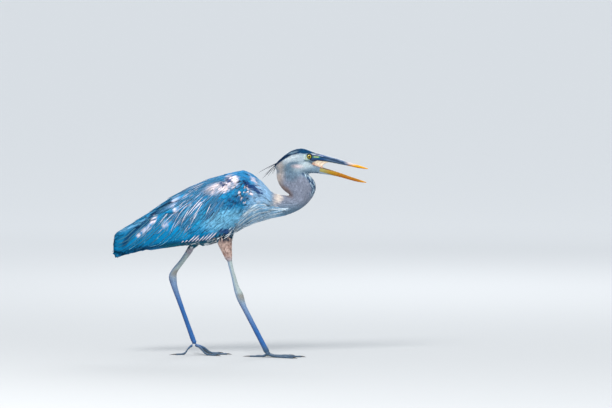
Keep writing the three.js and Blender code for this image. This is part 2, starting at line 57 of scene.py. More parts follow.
camera_data = bpy.data.cameras.new("camera")
camera_data.lens = LENS
camera_data.sensor_width = SENSOR
camera_data.clip_end = 400
camera = bpy.data.objects.new("camera", camera_data)
view_distance = VIEW_WIDTH * LENS / SENSOR
view_back = Vector((0, -math.cos(VIEW_RISE), math.sin(VIEW_RISE)))
camera.location = VIEW_CENTRE + view_back * view_distance
camera.rotation_euler = (-view_back).to_track_quat("-Z", "Y").to_euler()
bpy.context.scene.collection.objects.link(camera)
bpy.context.scene.camera = camera


def soft_light(name, place, aim, size, power, tint):
    data = bpy.data.lights.new(name, "AREA")
    data.shape = "DISK"
    data.size = size
    data.energy = power
    data.color = tint
    lamp = bpy.data.objects.new(name, data)
    lamp.location = place
    lamp.rotation_euler = (Vector(aim) - Vector(place)).to_track_quat("-Z", "Y").to_euler()
    bpy.context.scene.collection.objects.link(lamp)


soft_light("key", (-1.0, -2.0, 3.0), (0, 0, 0.35), 1.2, 104, (1.0, 0.97, 0.93))
soft_light("fill", (2.6, -2.4, 1.2), (0, 0, 0.35), 2.4, 18, (0.92, 0.96, 1.0))
soft_light("back", (0.6, 2.6, 2.4), (0, 0, 0.4), 1.6, 40, (1.0, 1.0, 1.0))

world = bpy.data.worlds.new("studio")
world.use_nodes = True
world.node_tree.nodes["Background"].inputs["Color"].default_value = (0.86, 0.90, 0.94, 1)
world.node_tree.nodes["Background"].inputs["Strength"].default_value = 0.98
bpy.context.scene.world = world
bpy.context.scene.view_settings.view_transform = "Standard"

FLOOR_RADIUS = 160
floor_mesh = bmesh.new()
bmesh.ops.create_circle(floor_mesh, cap_ends=True, segments=96, radius=FLOOR_RADIUS)
floor_data = bpy.data.meshes.new("floor")
floor_mesh.to_mesh(floor_data)
floor_mesh.free()
floor = bpy.data.objects.new("floor", floor_data)
bpy.context.scene.collection.objects.link(floor)
floor_finish = bpy.data.materials.new("pale_floor")
floor_finish.use_nodes = True
floor_shader = floor_finish.node_tree.nodes["Principled BSDF"]
floor_shader.inputs["Roughness"].default_value = 0.9
# The floor is a little darker where the lamps reach it, so that it looks even to the horizon.
FLOOR_NEAR = (0.43, 0.445, 0.46, 1)
FLOOR_FAR = (0.80, 0.815, 0.83, 1)
FLOOR_REACH = 6.0
floor_nodes, floor_links = floor_finish.node_tree.nodes, floor_finish.node_tree.links
floor_place = floor_nodes.new("ShaderNodeTexCoord")
floor_span = floor_nodes.new("ShaderNodeVectorMath")
floor_span.operation = "LENGTH"
floor_links.new(floor_place.outputs["Object"], floor_span.inputs[0])
floor_share = floor_nodes.new("ShaderNodeMapRange")
floor_share.interpolation_type = "SMOOTHSTEP"
floor_share.inputs["From Max"].default_value = FLOOR_REACH
floor_links.new(floor_span.outputs["Value"], floor_share.inputs["Value"])
floor_tone = floor_nodes.new("ShaderNodeMix")
floor_tone.data_type = "RGBA"
MIX_FROM, MIX_TO = 6, 7  # the colour sockets of a mix node
floor_tone.inputs[MIX_FROM].default_value = FLOOR_NEAR
floor_tone.inputs[MIX_TO].default_value = FLOOR_FAR
floor_links.new(floor_share.outputs["Result"], floor_tone.inputs[0])
floor_links.new(floor_tone.outputs[2], floor_shader.inputs["Base Color"])
floor_data.materials.append(floor_finish)

# ------------------------------------------------------------------ skin
# The body's own skin, in one piece from the bill's base to the thighs, under the plumage.
# It is cast over the solids of the flesh, smoothed, and drawn in by the coat's depth.
FLESH = [
    "head",
    "neck_upper",
    "neck_middle",
    "neck_lower",
    "trunk",
    "wing_coverts_right",
    "wing_coverts_left",
    "thigh_right",
    "thigh_left",
]
SKIN_VOXEL = 2.4 * MM
SEAM_FILL = 0.5 * MM  # each solid is swelled by this, so that the cuts between them close


def joined_nodes(names):
    joined = bmesh.new()
    for name in names:
        joined.from_mesh(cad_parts[name].data)
    bmesh.ops.remove_doubles(joined, verts=joined.verts, dist=0.01 * MM)
    return joined


def recast(name, names, voxel, swell, smoothing, stuffing=()):
    """One closed mesh over several solids: swelled, made of even small faces, smoothed.

    stuffing is a list of groups of points; the hull of each is added and fills a hollow.
    """
    joined = joined_nodes(names)
    for group in stuffing:
        corners = [joined.verts.new(point) for point in group]
        hull = bmesh.ops.convex_hull(joined, input=corners, use_existing_faces=False)
        bmesh.ops.delete(joined, geom=hull["geom_interior"], context="VERTS")
    data = bpy.data.meshes.new(name)
    joined.to_mesh(data)
    joined.free()
    piece = bpy.data.objects.new(name, data)
    bpy.context.scene.collection.objects.link(piece)
    if swell:
        grow = piece.modifiers.new("swell", "DISPLACE")
        grow.strength = swell
        grow.mid_level = 0
    cast = piece.modifiers.new("cast", "REMESH")
    cast.mode = "VOXEL"
    cast.voxel_size = voxel
    ease = piece.modifiers.new("ease", "SMOOTH")
    ease.factor = 0.5
    ease.iterations = smoothing
    shown = piece.evaluated_get(bpy.context.evaluated_depsgraph_get())
    made = bpy.data.meshes.new_from_object(shown)
    piece.modifiers.clear()
    piece.data = made
    made.name = name
    bpy.data.meshes.remove(data)
    return piece


def points_of(data):
    flat = np.empty(len(data.vertices) * 3, np.float32)
    data.vertices.foreach_get("co", flat)
    return flat.reshape(-1, 3).astype(float)


def normals_of(data):
    flat = np.empty(len(data.vertices) * 3, np.float32)
    data.vertex_normals.foreach_get("vector", flat)
    return flat.reshape(-1, 3).astype(float)


def move_points(data, points):
    data.vertices.foreach_set("co", points.astype(np.float32).ravel())
    data.update()


def ease_between(value, low, high):
    """0 below low, 1 above high, and a smooth rise between."""
    part = np.clip((value - low) / (high - low), 0, 1)
    return part * part * (3 - 2 * part)


# The line the plumage lies along: bill base, crown, down the folded neck, and back along
# the trunk to the tail, in millimetres in the side view, with the coat's depth at each.
LIE_LINE = np.array(
    [
        (212, 548), (190, 545), (168, 538), (150, 528), (142, 514), (146, 498), (154, 480),
        (164, 462), (170, 444), (166, 428), (152, 418), (132, 414), (108, 416), (80, 424),
        (45, 432), (5, 430), (-45, 420), (-95, 402), (-150, 378), (-205, 352), (-260, 330),
        (-310, 312), (-352, 298),
    ],
    float,
)
COAT_DEPTH = np.array([0.3, 1.1, 1.4, 1.9, 2.2, 2.4, 2.5, 2.6, 2.8, 3, 3, 3, 3.4, 4, 5, 5.5, 6, 6, 6,
                       6, 6, 5, 4])


THIGH_FOOT = 268  # below here only the thinnest coat is left on a thigh
THIGH_TOP = 330


def dense_line(line, values, each):
    steps = np.arange(0, len(line) - 1, 1 / each)
    where = np.minimum(steps.astype(int), len(line) - 2)
    part = (steps - where)[:, None]
    spots = line[where] * (1 - part) + line[where + 1] * part
    heading = line[where + 1] - line[where]
    heading /= np.linalg.norm(heading, axis=1)[:, None]
    return spots, heading, values[where] * (1 - part[:, 0]) + values[where + 1] * part[:, 0]


LINE_SPOTS, LINE_HEADINGS, LINE_DEPTHS = dense_line(LIE_LINE, COAT_DEPTH, 4)


def along_lie_line(points, power=4):
    """The line's heading and coat depth round each point, nearest parts counting most."""
    flat = points[:, [0, 2]] / MM
    gap = np.linalg.norm(flat[:, None, :] - LINE_SPOTS[None], axis=2) + 3
    weight = gap ** -float(power)
    weight /= weight.sum(1)[:, None]
    heading = weight @ LINE_HEADINGS
    heading /= np.linalg.norm(heading, axis=1)[:, None] + 1e-9
    spread = np.zeros((len(points), 3))
    spread[:, 0] = heading[:, 0]
    spread[:, 2] = heading[:, 1]
    thigh_depth = 1.2 + 0.08 * np.clip(flat[:, 1] - THIGH_FOOT, 0, None)
    depth = np.minimum(weight @ LINE_DEPTHS, np.where(flat[:, 1] < THIGH_TOP, thigh_depth, 9))
    return spread, depth * MM


skin = recast("skin", FLESH, SKIN_VOXEL, SEAM_FILL, 6)
skin_points = points_of(skin.data)
skin_depth = along_lie_line(skin_points)[1]
move_points(skin.data, skin_points - normals_of(skin.data) * (skin_depth + SEAM_FILL)[:, None])


def unwrap(piece):
    """The bake map of a piece, unwrapped over its own shape."""
    bpy.context.view_layer.objects.active = piece
    piece.select_set(True)
    piece.data.uv_layers.new(name="OFBake")
    bpy.ops.object.mode_set(mode="EDIT")
    bpy.ops.mesh.select_all(action="SELECT")
    bpy.ops.uv.smart_project(angle_limit=math.radians(66), island_margin=0.002)
    bpy.ops.object.mode_set(mode="OBJECT")
    piece.select_set(False)


unwrap(skin)
skin.data.calc_loop_triangles()
skin_points = points_of(skin.data)
skin_corners = np.array([t.vertices[:] for t in skin.data.loop_triangles])
skin_loops = np.array([t.loops[:] for t in skin.data.loop_triangles])
skin_map = np.empty(len(skin.data.loops) * 2, np.float32)
skin.data.uv_layers["OFBake"].data.foreach_get("uv", skin_map)
skin_map = skin_map.reshape(-1, 2)


def node_tree(names):
    """A search tree over several solids, and which solid each of its faces is of."""
    points, faces, owner = [], [], []
    for number, name in enumerate(names):
        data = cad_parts[name].data
        start = len(points)
        points.extend(v.co[:] for v in data.vertices)
        for face in data.polygons:
            faces.append([start + v for v in face.vertices])
            owner.append(number)
    return BVHTree.FromPolygons(points, faces), np.array(owner)


flesh_tree, flesh_owner = node_tree(FLESH)
skin_middles = skin_points[skin_corners].mean(1)
skin_owner = np.array([flesh_owner[flesh_tree.find_nearest(Vector(p))[2]] for p in skin_middles])

# The pattern of the plumage, worked out from place alone, so that skin and feathers agree on
# the head, neck, body and wings: teal blue above, paler flank, grey neck, white cheek, dark
# crown stripes, streaked belly. The thigh, breast and nape plumes have their own colours.


def paint(red, green, blue):
    """A screen colour, 0 to 255, as the linear values that a shader takes."""
    value = np.array([red, green, blue]) / 255
    return np.where(value <= 0.04045, value / 12.92, ((value + 0.055) / 1.055) ** 2.4)


WING_BLUE = paint(0, 120, 170)
DEEP_TEAL = paint(0, 102, 148)
TIP_TEAL = paint(0, 84, 122)
PALE_FLANK = paint(110, 180, 216)
MID_FLANK = paint(4, 150, 200)
LAVENDER = paint(130, 170, 204)
MANTLE_BLUE = paint(26, 118, 172)
NAVY = paint(0, 50, 104)
ROSE_WHITE = paint(244, 226, 230)
NECK_MAUVE = paint(152, 160, 180)
NECK_TEAL = paint(100, 130, 152)
NECK_WARM = paint(206, 190, 178)
CREASE_BROWN = paint(150, 120, 104)
UNDER_NECK = paint(104, 142, 168)
WHITE_DOWN = paint(236, 244, 248)
CHEEK_BLUE = paint(136, 166, 188)
CROWN_BLUE = paint(0, 80, 128)
CROWN_NAVY = paint(0, 44, 80)
BELLY_INK = paint(4, 46, 68)
VENT_TEAL = paint(0, 82, 104)
PEACH_DOWN = paint(255, 240, 230)
CREASE_TEAL = paint(0, 44, 78)
PALE_BACK = paint(120, 178, 218)


def mixed(colour, other, weight):
    return colour * (1 - weight[:, None]) + other * weight[:, None]


def patch(x, z, centre, radii, turn=0.0, soft=0.45):
    """1 inside an oval in the side view, 0 outside it, with a soft border."""
    spin = math.radians(turn)
    along = (x - centre[0]) * math.cos(spin) + (z - centre[1]) * math.sin(spin)
    across = (z - centre[1]) * math.cos(spin) - (x - centre[0]) * math.sin(spin)
    reach = np.hypot(along / radii[0], across / radii[1])
    return 1 - ease_between(reach, 1 - soft, 1 + soft)


def stroke(x, z, line, half, soft=0.5):
    """1 along a bent line of the side view, fading to 0 at a half width from it."""
    near = np.full(len(x), 1e3)
    for (x0, z0), (x1, z1) in zip(line, line[1:]):
        run, climb = x1 - x0, z1 - z0
        share = np.clip(((x - x0) * run + (z - z0) * climb) / (run**2 + climb**2), 0, 1)
        near = np.minimum(near, np.hypot(x - x0 - share * run, z - z0 - share * climb))
    return 1 - ease_between(near, half * (1 - soft), half * (1 + soft))


def ripple(points, size, seed):
    """A cheap smooth noise from -1 to 1 over points in millimetres."""
    turn = np.array([[0.8, 0.5, 0.33], [-0.45, 0.86, 0.24], [0.3, -0.4, 0.87]])
    place = points @ turn / size + seed
    first = np.sin(place[:, 0] * 2.1 + 1.7 * np.sin(place[:, 1] * 1.3 + seed))
    second = np.sin(place[:, 2] * 2.7 + 1.5 * np.sin(place[:, 0] * 1.9 - seed))
    third = np.sin(place[:, 1] * 3.9 + 1.3 * np.sin(place[:, 2] * 2.3 + 2 * seed))
    return (first + second + third) / 3


# Marks of the wing in the side view: dark on the shoulder, a pale strip under the back's
# outline, the painted shadow of the crease below it, and the wing's dark lower edge.
NAVY_CRESCENT = [(14, 478), (30, 466), (43, 461), (55, 449)]
BACK_STRIP = [(-212, 404), (-247, 381), (-267, 372), (-308, 352), (-329, 346)]
WING_CREASE_SHADOW = [(-192, 425), (-240, 389), (-258, 368), (-284, 352), (-304, 334), (-318, 308)]
WING_HEM = [(-60, 322), (-179, 311), (-289, 294), (-330, 280)]


def wing_colour(spot, streak):
    """Back, wings and flank."""
    x, z = spot[:, 0], spot[:, 2]
    grain = ripple(spot, 9, 1.3)
    broad = ripple(spot, 24, 4.1)
    colour = mixed(np.tile(WING_BLUE, (len(x), 1)), DEEP_TEAL, ease_between(-x, 120, 260))
    colour = mixed(colour, TIP_TEAL, ease_between(-x, 250, 340) * 0.7)
    colour = mixed(colour, MANTLE_BLUE, 0.9 * patch(x, z, (-10, 500), (60, 14), -8))
    colour = mixed(colour, MID_FLANK, 0.9 * patch(x, z, (-108, 382), (34, 26), 20))
    colour = mixed(colour, PALE_FLANK, patch(x, z, (-42, 374), (58, 28), 10))
    colour = mixed(colour, LAVENDER, patch(x, z, (62, 446), (34, 56), -24))
    colour = mixed(colour, ROSE_WHITE, 0.5 * patch(x, z, (40, 482), (26, 5), -52) * (streak > 0.4))
    rosy = patch(x, z, (-54, 464), (42, 14), 14) * np.clip(0.85 + 0.9 * grain, 0, 1)
    rosy = np.maximum(rosy, patch(x, z, (-22, 483), (17, 15), 0) * np.clip(0.85 + 0.9 * grain, 0, 1))
    rosy = np.maximum(rosy, stroke(x, z, [(16, 466), (33, 445)], 4) * (streak > 0.3) * 0.9)
    rosy = np.maximum(rosy, stroke(x, z, [(0, 456), (12, 428)], 6) * (streak > 0.55) * 0.9)
    rosy = np.maximum(rosy, patch(x, z, (-140, 450), (34, 12), 28) * (streak > 0.7) * 0.7)
    rosy = np.maximum(rosy, patch(x, z, (-186, 422), (20, 6), 35, 0.8) * (streak > 0.4) * 0.5)
    rosy = np.maximum(rosy, patch(x, z, (-180, 408), (19, 5), -68, 0.8) * (streak > 0.3) * 0.6)
    rosy = np.maximum(rosy, patch(x, z, (-142, 424), (15, 4), -60, 0.8) * (streak > 0.4) * 0.6)
    colour = mixed(colour, ROSE_WHITE, rosy)
    dark = patch(x, z, (-46, 472.5), (10, 7), -40, 0.25) + patch(x, z, (-31, 485.5), (9, 7), -40, 0.25)
    dark = dark + stroke(x, z, NAVY_CRESCENT, 8.0, 0.3)
    dark = dark + 0.8 * stroke(x, z, [(-70, 403), (-88, 382)], 5)
    dark = dark + 0.8 * patch(x, z, (-22, 426), (46, 12), 14) * np.clip(0.6 + 1.4 * grain, 0, 1)
    colour = mixed(colour, NAVY, np.clip(dark, 0, 1) * 0.95)
    colour = mixed(colour, PALE_BACK, 0.55 * stroke(x, z, BACK_STRIP, 3.5, 0.9))
    # painted shadow: a dark teal stroke along the crease between the wing's top and the back
    colour = mixed(colour, CREASE_TEAL, 0.95 * stroke(x, z, WING_CREASE_SHADOW, 6.5))
    colour = mixed(colour, CREASE_TEAL, 0.75 * stroke(x, z, WING_HEM, 5))
    shade = 1 + 0.10 * grain + 0.14 * broad
    return colour * shade[:, None]


def belly_colour(colour, x, y, z, streak):
    line = np.interp(
        x, [-260, -200, -140, -82, -41, 0, 40, 85], [302, 306, 309, 316, 336, 357, 374, 388]
    )
    under = 1 - ease_between(z, line, line + 7)
    dashes = (streak < np.where(y > 14, 0.84, 0.35)) * 1.0
    inked = mixed(np.tile(WHITE_DOWN, (len(x), 1)), BELLY_INK, dashes)
    colour = mixed(colour, inked, under * ease_between(-x, -95, -20) * (1 - ease_between(-x, 56, 70)))
    vent = mixed(np.tile(VENT_TEAL, (len(x), 1)), WHITE_DOWN * 0.8, (streak > 0.8) * 0.8)
    colour = mixed(colour, vent, under * ease_between(-x, 56, 70) * (1 - ease_between(-x, 190, 230)))
    colour = mixed(colour, NAVY, 0.95 * patch(x, z, (-40, 345), (19, 7), 10, 0.3))
    breast = patch(x, z, (62, 402), (54, 20), 20)
    lances = mixed(np.tile(WHITE_DOWN * 0.8, (len(x), 1)), UNDER_NECK, (streak > 0.42) * 0.8)
    return mixed(colour, lances, 0.8 * breast)


FORE_NAVY = paint(0, 62, 108)
FORE_PALE = paint(200, 226, 242)
FORE_LIE = math.radians(66)  # the fore neck's streaks fall forward at this angle


def neck_colour(x, y, z, streak):
    tone = mixed(np.tile(NECK_MAUVE, (len(x), 1)), UNDER_NECK, 0.85 * (1 - ease_between(z, 392, 436)))
    tone = mixed(tone, NECK_TEAL, 0.8 * patch(x, z, (140, 506), (22, 24), 0))
    tone = mixed(tone, NECK_WARM, 0.85 * patch(x, z, (104, 490), (13, 46), -10, 0.85))
    tone = mixed(tone, CREASE_BROWN, 0.7 * patch(x, z, (126, 455), (22, 10), -42))
    mottle = np.clip(0.86 + 0.7 * ripple(np.stack([x, y, z], 1), 6, 0.4), 0, 1)
    tone = mixed(tone, PEACH_DOWN, patch(x, z, (104, 437), (14, 15), 12, 0.4) * mottle)
    collar = stroke(x, z, [(90, 440), (93, 426), (99, 412)], 3.5, 0.8)
    tone = mixed(tone, PEACH_DOWN, 0.6 * collar * mottle)
    tone = mixed(tone, CHEEK_BLUE, 0.9 * patch(x, z, (186, 512), (42, 18), -6))
    front_x = np.interp(z, [400, 430, 448, 466, 482, 497, 510], [150, 190, 203, 209, 206, 196, 186])
    fore = ease_between(x, front_x - 27, front_x - 18) * (1 - ease_between(z, 503, 509))
    fore = fore * ease_between(z, 430, 452) * (y < 17)
    across = x * math.sin(FORE_LIE) + z * math.cos(FORE_LIE)
    along = x * math.cos(FORE_LIE) - z * math.sin(FORE_LIE)
    inked = ripple(np.stack([across / 2.2, along / 8, y / 5], 1) * 6, 6, 0.9) + 0.5 * (streak - 0.5)
    bars = mixed(np.tile(FORE_PALE, (len(x), 1)), FORE_NAVY, 0.95 * ease_between(-inked, -0.25, 0.0))
    return mixed(tone, bars, fore)


GAPE_SHADE = paint(8, 72, 104)
JAW_BROWN = paint(96, 76, 74)
THROAT_PALE = paint(232, 248, 254)
EYE_FLECK = paint(226, 244, 204)
CROWN_TOP = np.array([(80, 512), (92, 527), (102, 537), (121, 553), (143, 567), (165, 573), (182, 571),
                      (196, 565), (209, 560), (220, 556)], float)


def head_colour(x, y, z, streak):
    tone = np.tile(CHEEK_BLUE, (len(x), 1))
    tone = mixed(tone, NECK_WARM, 0.75 * patch(x, z, (110, 522), (12, 24), 20, 0.85))
    tone = mixed(tone, WHITE_DOWN, 0.42 * patch(x, z, (158, 545), (34, 9), 8))
    tone = mixed(tone, WHITE_DOWN, 0.4 * patch(x, z, (144, 550), (20, 7), 14, 0.6))
    tone = mixed(tone, WHITE_DOWN, 0.5 * patch(x, z, (128, 538), (12, 9), 30))
    tone = mixed(tone, NECK_TEAL, 0.75 * patch(x, z, (154, 531), (24, 5), 4, 0.7))
    tone = mixed(tone, NECK_TEAL, 0.7 * patch(x, z, (138, 514), (20, 12), 0))
    tone = mixed(tone, ROSE_WHITE, 0.95 * patch(x, z, (166, 522), (20, 5.5), -4, 0.7))
    tone = mixed(tone, THROAT_PALE, patch(x, z, (198, 519), (32, 13), -20, 0.6))
    tone = mixed(tone, THROAT_PALE, 0.95 * patch(x, z, (192, 508), (38, 8), -6, 0.6))
    tone = mixed(tone, EYE_FLECK, 0.7 * patch(x, z, (180, 546), (4, 8), 20, 0.8) * (streak > 0.25))
    tone = mixed(tone, EYE_FLECK, 0.6 * patch(x, z, (186, 540.5), (7, 2.2), 0, 0.6))
    jaw_line = stroke(x, z, [(197, 530.4), (205, 527.6), (224, 521.4)], 1.5, 0.8)
    tone = mixed(tone, JAW_BROWN, 0.9 * jaw_line)
    tone = mixed(tone, GAPE_SHADE, 0.8 * stroke(x, z, [(178, 539), (188, 538), (196, 534)], 2.6, 0.8))
    top = np.interp(x, CROWN_TOP[:, 0], CROWN_TOP[:, 1])
    band = np.interp(x, [90, 110, 150, 178, 190, 200, 210], [9, 10, 13, 14, 9, 4.5, 2.5])
    stripe = ease_between(z, top - band - 2, top - band + 1.5) * (1 - ease_between(x, 204, 214))
    stripe = stripe * np.where(x > 118, ease_between(y, 2.0, 4.0), 1)
    fore_crown = 0.9 * ease_between(x, 150, 176) * (streak > 0.3)
    dark = mixed(np.tile(CROWN_NAVY, (len(x), 1)), CROWN_BLUE, fore_crown)
    dark = mixed(dark, CHEEK_BLUE, 0.6 * patch(x, z, (146, 561), (14, 3), 16))
    tone = mixed(tone, dark, stripe)
    # painted highlight: a thin white line along the forehead's top edge towards the bill
    return mixed(tone, WHITE_DOWN, 0.5 * stroke(x, z, [(196, 557.5), (214, 554.6)], 1.4))


VIEW_DROP = math.tan(VIEW_RISE)  # the marks' places are those of the camera's side view


def coat_colour(points, streak):
    """Colour of the plumage at points in metres. streak, from 0 to 1, is each feather's own."""
    spot = points / MM
    spot[:, 2] -= VIEW_DROP * np.abs(spot[:, 1])
    x, y, z = spot[:, 0], np.abs(spot[:, 1]), spot[:, 2]
    colour = wing_colour(spot, streak)
    colour = belly_colour(colour, x, y, z, streak)
    colour = mixed(colour, neck_colour(x, y, z, streak), ease_between(x, 80, 104))
    head = ease_between(x, 84, 92) * ease_between(z, 496, 512) * ease_between(z - 0.35 * x, 444, 466)
    colour = mixed(colour, head_colour(x, y, z, streak), head)
    return np.clip(colour * (1 + 0.07 * ripple(spot, 5, 2.2))[:, None], 0.001, 0.95)


def store_colour(data, colour):
    layer = data.color_attributes.new("coat", "FLOAT_COLOR", "POINT")
    flat = np.ones((len(colour), 4), np.float32)
    flat[:, :3] = colour
    layer.data.foreach_set("color", flat.ravel())


# Where the mouth opens and where the face in front of the eye is bare.


def mouth_inside(points):
    """1 on the skin inside the open mouth."""
    x, z = points[:, 0] / MM, points[:, 2] / MM
    roof = np.interp(x, [190, 200, 214], [529, 533, 537.5])
    floor_line = np.interp(x, [190, 198, 214, 222], [531, 529, 525.4, 523])
    return (x > 194) * (z < roof) * (z > floor_line) * 1.0


def lore_mask(points):
    x, z = points[:, 0] / MM, points[:, 2] / MM
    upper = np.interp(x, [186, 198, 212], [555, 556, 555.5])
    lower = np.interp(x, [186, 198, 212], [543, 538, 537])
    return (x > 190) * (z < upper) * (z > lower) * 1.0


THIGH_ROSE = paint(222, 192, 180)
thigh_faces = np.isin(skin_owner, [FLESH.index("thigh_right"), FLESH.index("thigh_left")])
on_thigh = np.zeros(len(skin_points))
on_thigh[skin_corners[thigh_faces].ravel()] = 1
# painted shade: the skin is the coat's colour darkened, and a darkened rose on the thighs, as the shade
# in the gaps between the feathers over it
skin_colour = coat_colour(skin_points, np.full(len(skin_points), 0.5)) * 0.85
skin_colour = mixed(skin_colour, THIGH_ROSE * 0.8, on_thigh)
store_colour(skin.data, skin_colour)


def painted_finish(name, roughness):
    """A finish whose colour is the piece's own coat attribute. Detail is added by its maker."""
    finish = bpy.data.materials.new(name)
    finish.use_nodes = True
    nodes = finish.node_tree.nodes
    shader = nodes["Principled BSDF"]
    shader.inputs["Roughness"].default_value = roughness
    pigment = nodes.new("ShaderNodeAttribute")
    pigment.attribute_name = "coat"
    place = nodes.new("ShaderNodeTexCoord")
    return finish, nodes, finish.node_tree.links, shader, pigment, place


def shade_by(nodes, links, pigment, value, low, high):
    """The pigment scaled by a value from 0 to 1, between low and high."""
    span = nodes.new("ShaderNodeMapRange")
    span.inputs["To Min"].default_value = low
    span.inputs["To Max"].default_value = high
    links.new(value, span.inputs["Value"])
    tone = nodes.new("ShaderNodeVectorMath")
    tone.operation = "SCALE"
    links.new(pigment, tone.inputs[0])
    links.new(span.outputs["Result"], tone.inputs["Scale"])
    return tone.outputs["Vector"]


def raise_by(nodes, links, height, strength, distance, under=None):
    bump = nodes.new("ShaderNodeBump")
    bump.inputs["Strength"].default_value = strength
    bump.inputs["Distance"].default_value = distance
    links.new(height, bump.inputs["Height"])
    if under is not None:
        links.new(under, bump.inputs["Normal"])
    return bump.outputs["Normal"]


def noise_of(nodes, links, place, scale, detail=2):
    noise = nodes.new("ShaderNodeTexNoise")
    noise.inputs["Scale"].default_value = scale
    noise.inputs["Detail"].default_value = detail
    links.new(place.outputs["Object"], noise.inputs["Vector"])
    return noise.outputs["Fac"]


def skin_finish():
    finish, nodes, links, shader, pigment, place = painted_finish("skin", 0.6)
    pores = nodes.new("ShaderNodeTexVoronoi")
    pores.inputs["Scale"].default_value = 420
    links.new(place.outputs["Object"], pores.inputs["Vector"])
    mottle = noise_of(nodes, links, place, 160)
    tone = shade_by(nodes, links, pigment.outputs["Color"], mottle, 0.75, 1.2)
    links.new(tone, shader.inputs["Base Color"])
    relief = raise_by(nodes, links, pores.outputs["Distance"], 0.35, 0.6 * MM)
    links.new(relief, shader.inputs["Normal"])
    return finish


SKIN_FINISH = skin_finish()
skin.data.materials.clear()
skin.data.materials.append(SKIN_FINISH)
skin.data.shade_smooth()
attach(skin, "root")
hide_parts(*FLESH)

# ------------------------------------------------------------------ small feathers
# The feathers of head, neck, body and thighs, each a thin closed vane with a raised shaft.
# They root in the skin and lie down it towards the tail, each row over the roots of the next.
chance = np.random.default_rng(7)
HAIR = np.array([(-1, 0.0), (0, 1.0), (1, 0.0)])
SLIM = np.array([(-1, 0.0), (0, 1.0), (1, 0.0), (0, -0.7)])
BROAD = np.array([(-1, -0.5), (-0.45, 0.75), (0, 1.0), (0.45, 0.75), (1, -0.5), (0, -0.8)])
ROOT_PATCH = 0.003
OVERHEAD = 0.7  # a height above the whole bird
WING_TIP_RISE = 322 * MM
BARB_GREY = np.array([0.62, 0.68, 0.76])  # worn feather edges fade towards this


class Form:
    """A surface to lay feathers on, which gives the nearest point and smooth way out."""

    def __init__(self, piece):
        piece.data.calc_loop_triangles()
        self.points = points_of(piece.data)
        self.normals = normals_of(piece.data)
        self.corners = np.array([t.vertices[:] for t in piece.data.loop_triangles])
        self.tree = BVHTree.FromPolygons(self.points.tolist(), self.corners.tolist())

    def smooth_at(self, places, faces):
        corners = self.corners[faces]
        gap = np.linalg.norm(self.points[corners] - places[:, None], axis=2) + 1e-6
        blend = (1 / gap)[:, :, None] * self.normals[corners]
        normal = blend.sum(1)
        return normal / (np.linalg.norm(normal, axis=1)[:, None] + 1e-9)

    def settle(self, points):
        found = [self.tree.find_nearest(Vector(p)) for p in points]
        places = np.array([f[0][:] for f in found])
        return places, self.smooth_at(places, np.array([f[2] for f in found]))

    def from_side(self, flat, hand):
        """Points of the side view, in millimetres, thrown onto the surface from one side."""
        places = np.empty((len(flat), 3))
        for number, (x, z) in enumerate(flat):
            start = Vector((x * MM, hand * 0.25, z * MM))
            hit = self.tree.ray_cast(start, Vector((0, -hand, 0)))[0]
            if hit is None or hit.y * hand < 0:
                hit = self.tree.find_nearest(Vector((x * MM, hand * 0.02, z * MM)))[0]
            places[number] = hit[:]
        return self.settle(places)

    def from_above(self, flat):
        """Points of the top view, in millimetres, dropped onto the surface."""
        places = np.empty((len(flat), 3))
        for number, (x, y) in enumerate(flat):
            hit = self.tree.ray_cast(Vector((x * MM, y * MM, OVERHEAD)), Vector((0, 0, -1)))[0]
            if hit is None:
                hit = self.tree.find_nearest(Vector((x * MM, y * MM, WING_TIP_RISE)))[0]
            places[number] = hit[:]
        return self.settle(places)


skin_form = Form(skin)
# The outline of the whole plumage, which the feathers' ends lie in.
outline = recast("outline", FLESH + ["wing_quills_right", "wing_quills_left", "tail", "breast_plumes"],
                 2.6 * MM, SEAM_FILL, 8)
outline_form = Form(outline)
bpy.data.objects.remove(outline)
# Slices of that outline, drawn in, which fill the hollow between the folded wing tips; with the quill
# bed they are painted dark as the shade in that hollow.
SLICE_PITCH = 9
SLICE_INSET = 2.5 * MM
SLICE_FLOOR = 289 * MM  # the tail's hollow underside is left open below here
tip_slices = []
for start in np.arange(-334, -262, SLICE_PITCH):
    inside = np.abs(outline_form.points[:, 0] / MM - start - SLICE_PITCH / 2) < SLICE_PITCH / 2 + 1
    inside = inside & (outline_form.points[:, 2] > SLICE_FLOOR)
    tip_slices.append(outline_form.points[inside] - outline_form.normals[inside] * SLICE_INSET)


CELL_PRIMES = (73856093, 19349663, 83492791)  # these give each cell a code of its own


def sow(spacing, names, keep=None):
    """Even random places on the skin of some solids, spacing metres apart, with their bake spots."""
    wanted = np.isin(skin_owner, [FLESH.index(name) for name in names])
    corners = skin_points[skin_corners]
    normal = np.cross(corners[:, 1] - corners[:, 0], corners[:, 2] - corners[:, 0])
    span = np.linalg.norm(normal, axis=1) / 2
    weight = span * wanted
    total = int(weight.sum() / spacing**2 * 7)
    face = chance.choice(len(span), total, p=weight / weight.sum())
    first, second = chance.random(total), chance.random(total)
    flip = first + second > 1
    first[flip], second[flip] = 1 - first[flip], 1 - second[flip]
    share = np.stack([1 - first - second, first, second], 1)
    points = np.einsum("nk,nkc->nc", share, corners[face])
    marks = np.einsum("nk,nkc->nc", share, skin_map[skin_loops[face]])
    if keep is not None:
        chosen = keep(points)
        points, marks = points[chosen], marks[chosen]
    cell = np.floor(points / spacing).astype(np.int64)
    code = (
        (cell[:, 0] * CELL_PRIMES[0]) ^ (cell[:, 1] * CELL_PRIMES[1])
        ^ (cell[:, 2] * CELL_PRIMES[2])
    )
    first_of = np.unique(code, return_index=True)[1]
    return points[first_of], marks[first_of]


def flatten(direction, normal):
    level = direction - normal * np.einsum("nc,nc->n", direction, normal)[:, None]
    return level / (np.linalg.norm(level, axis=1)[:, None] + 1e-9)


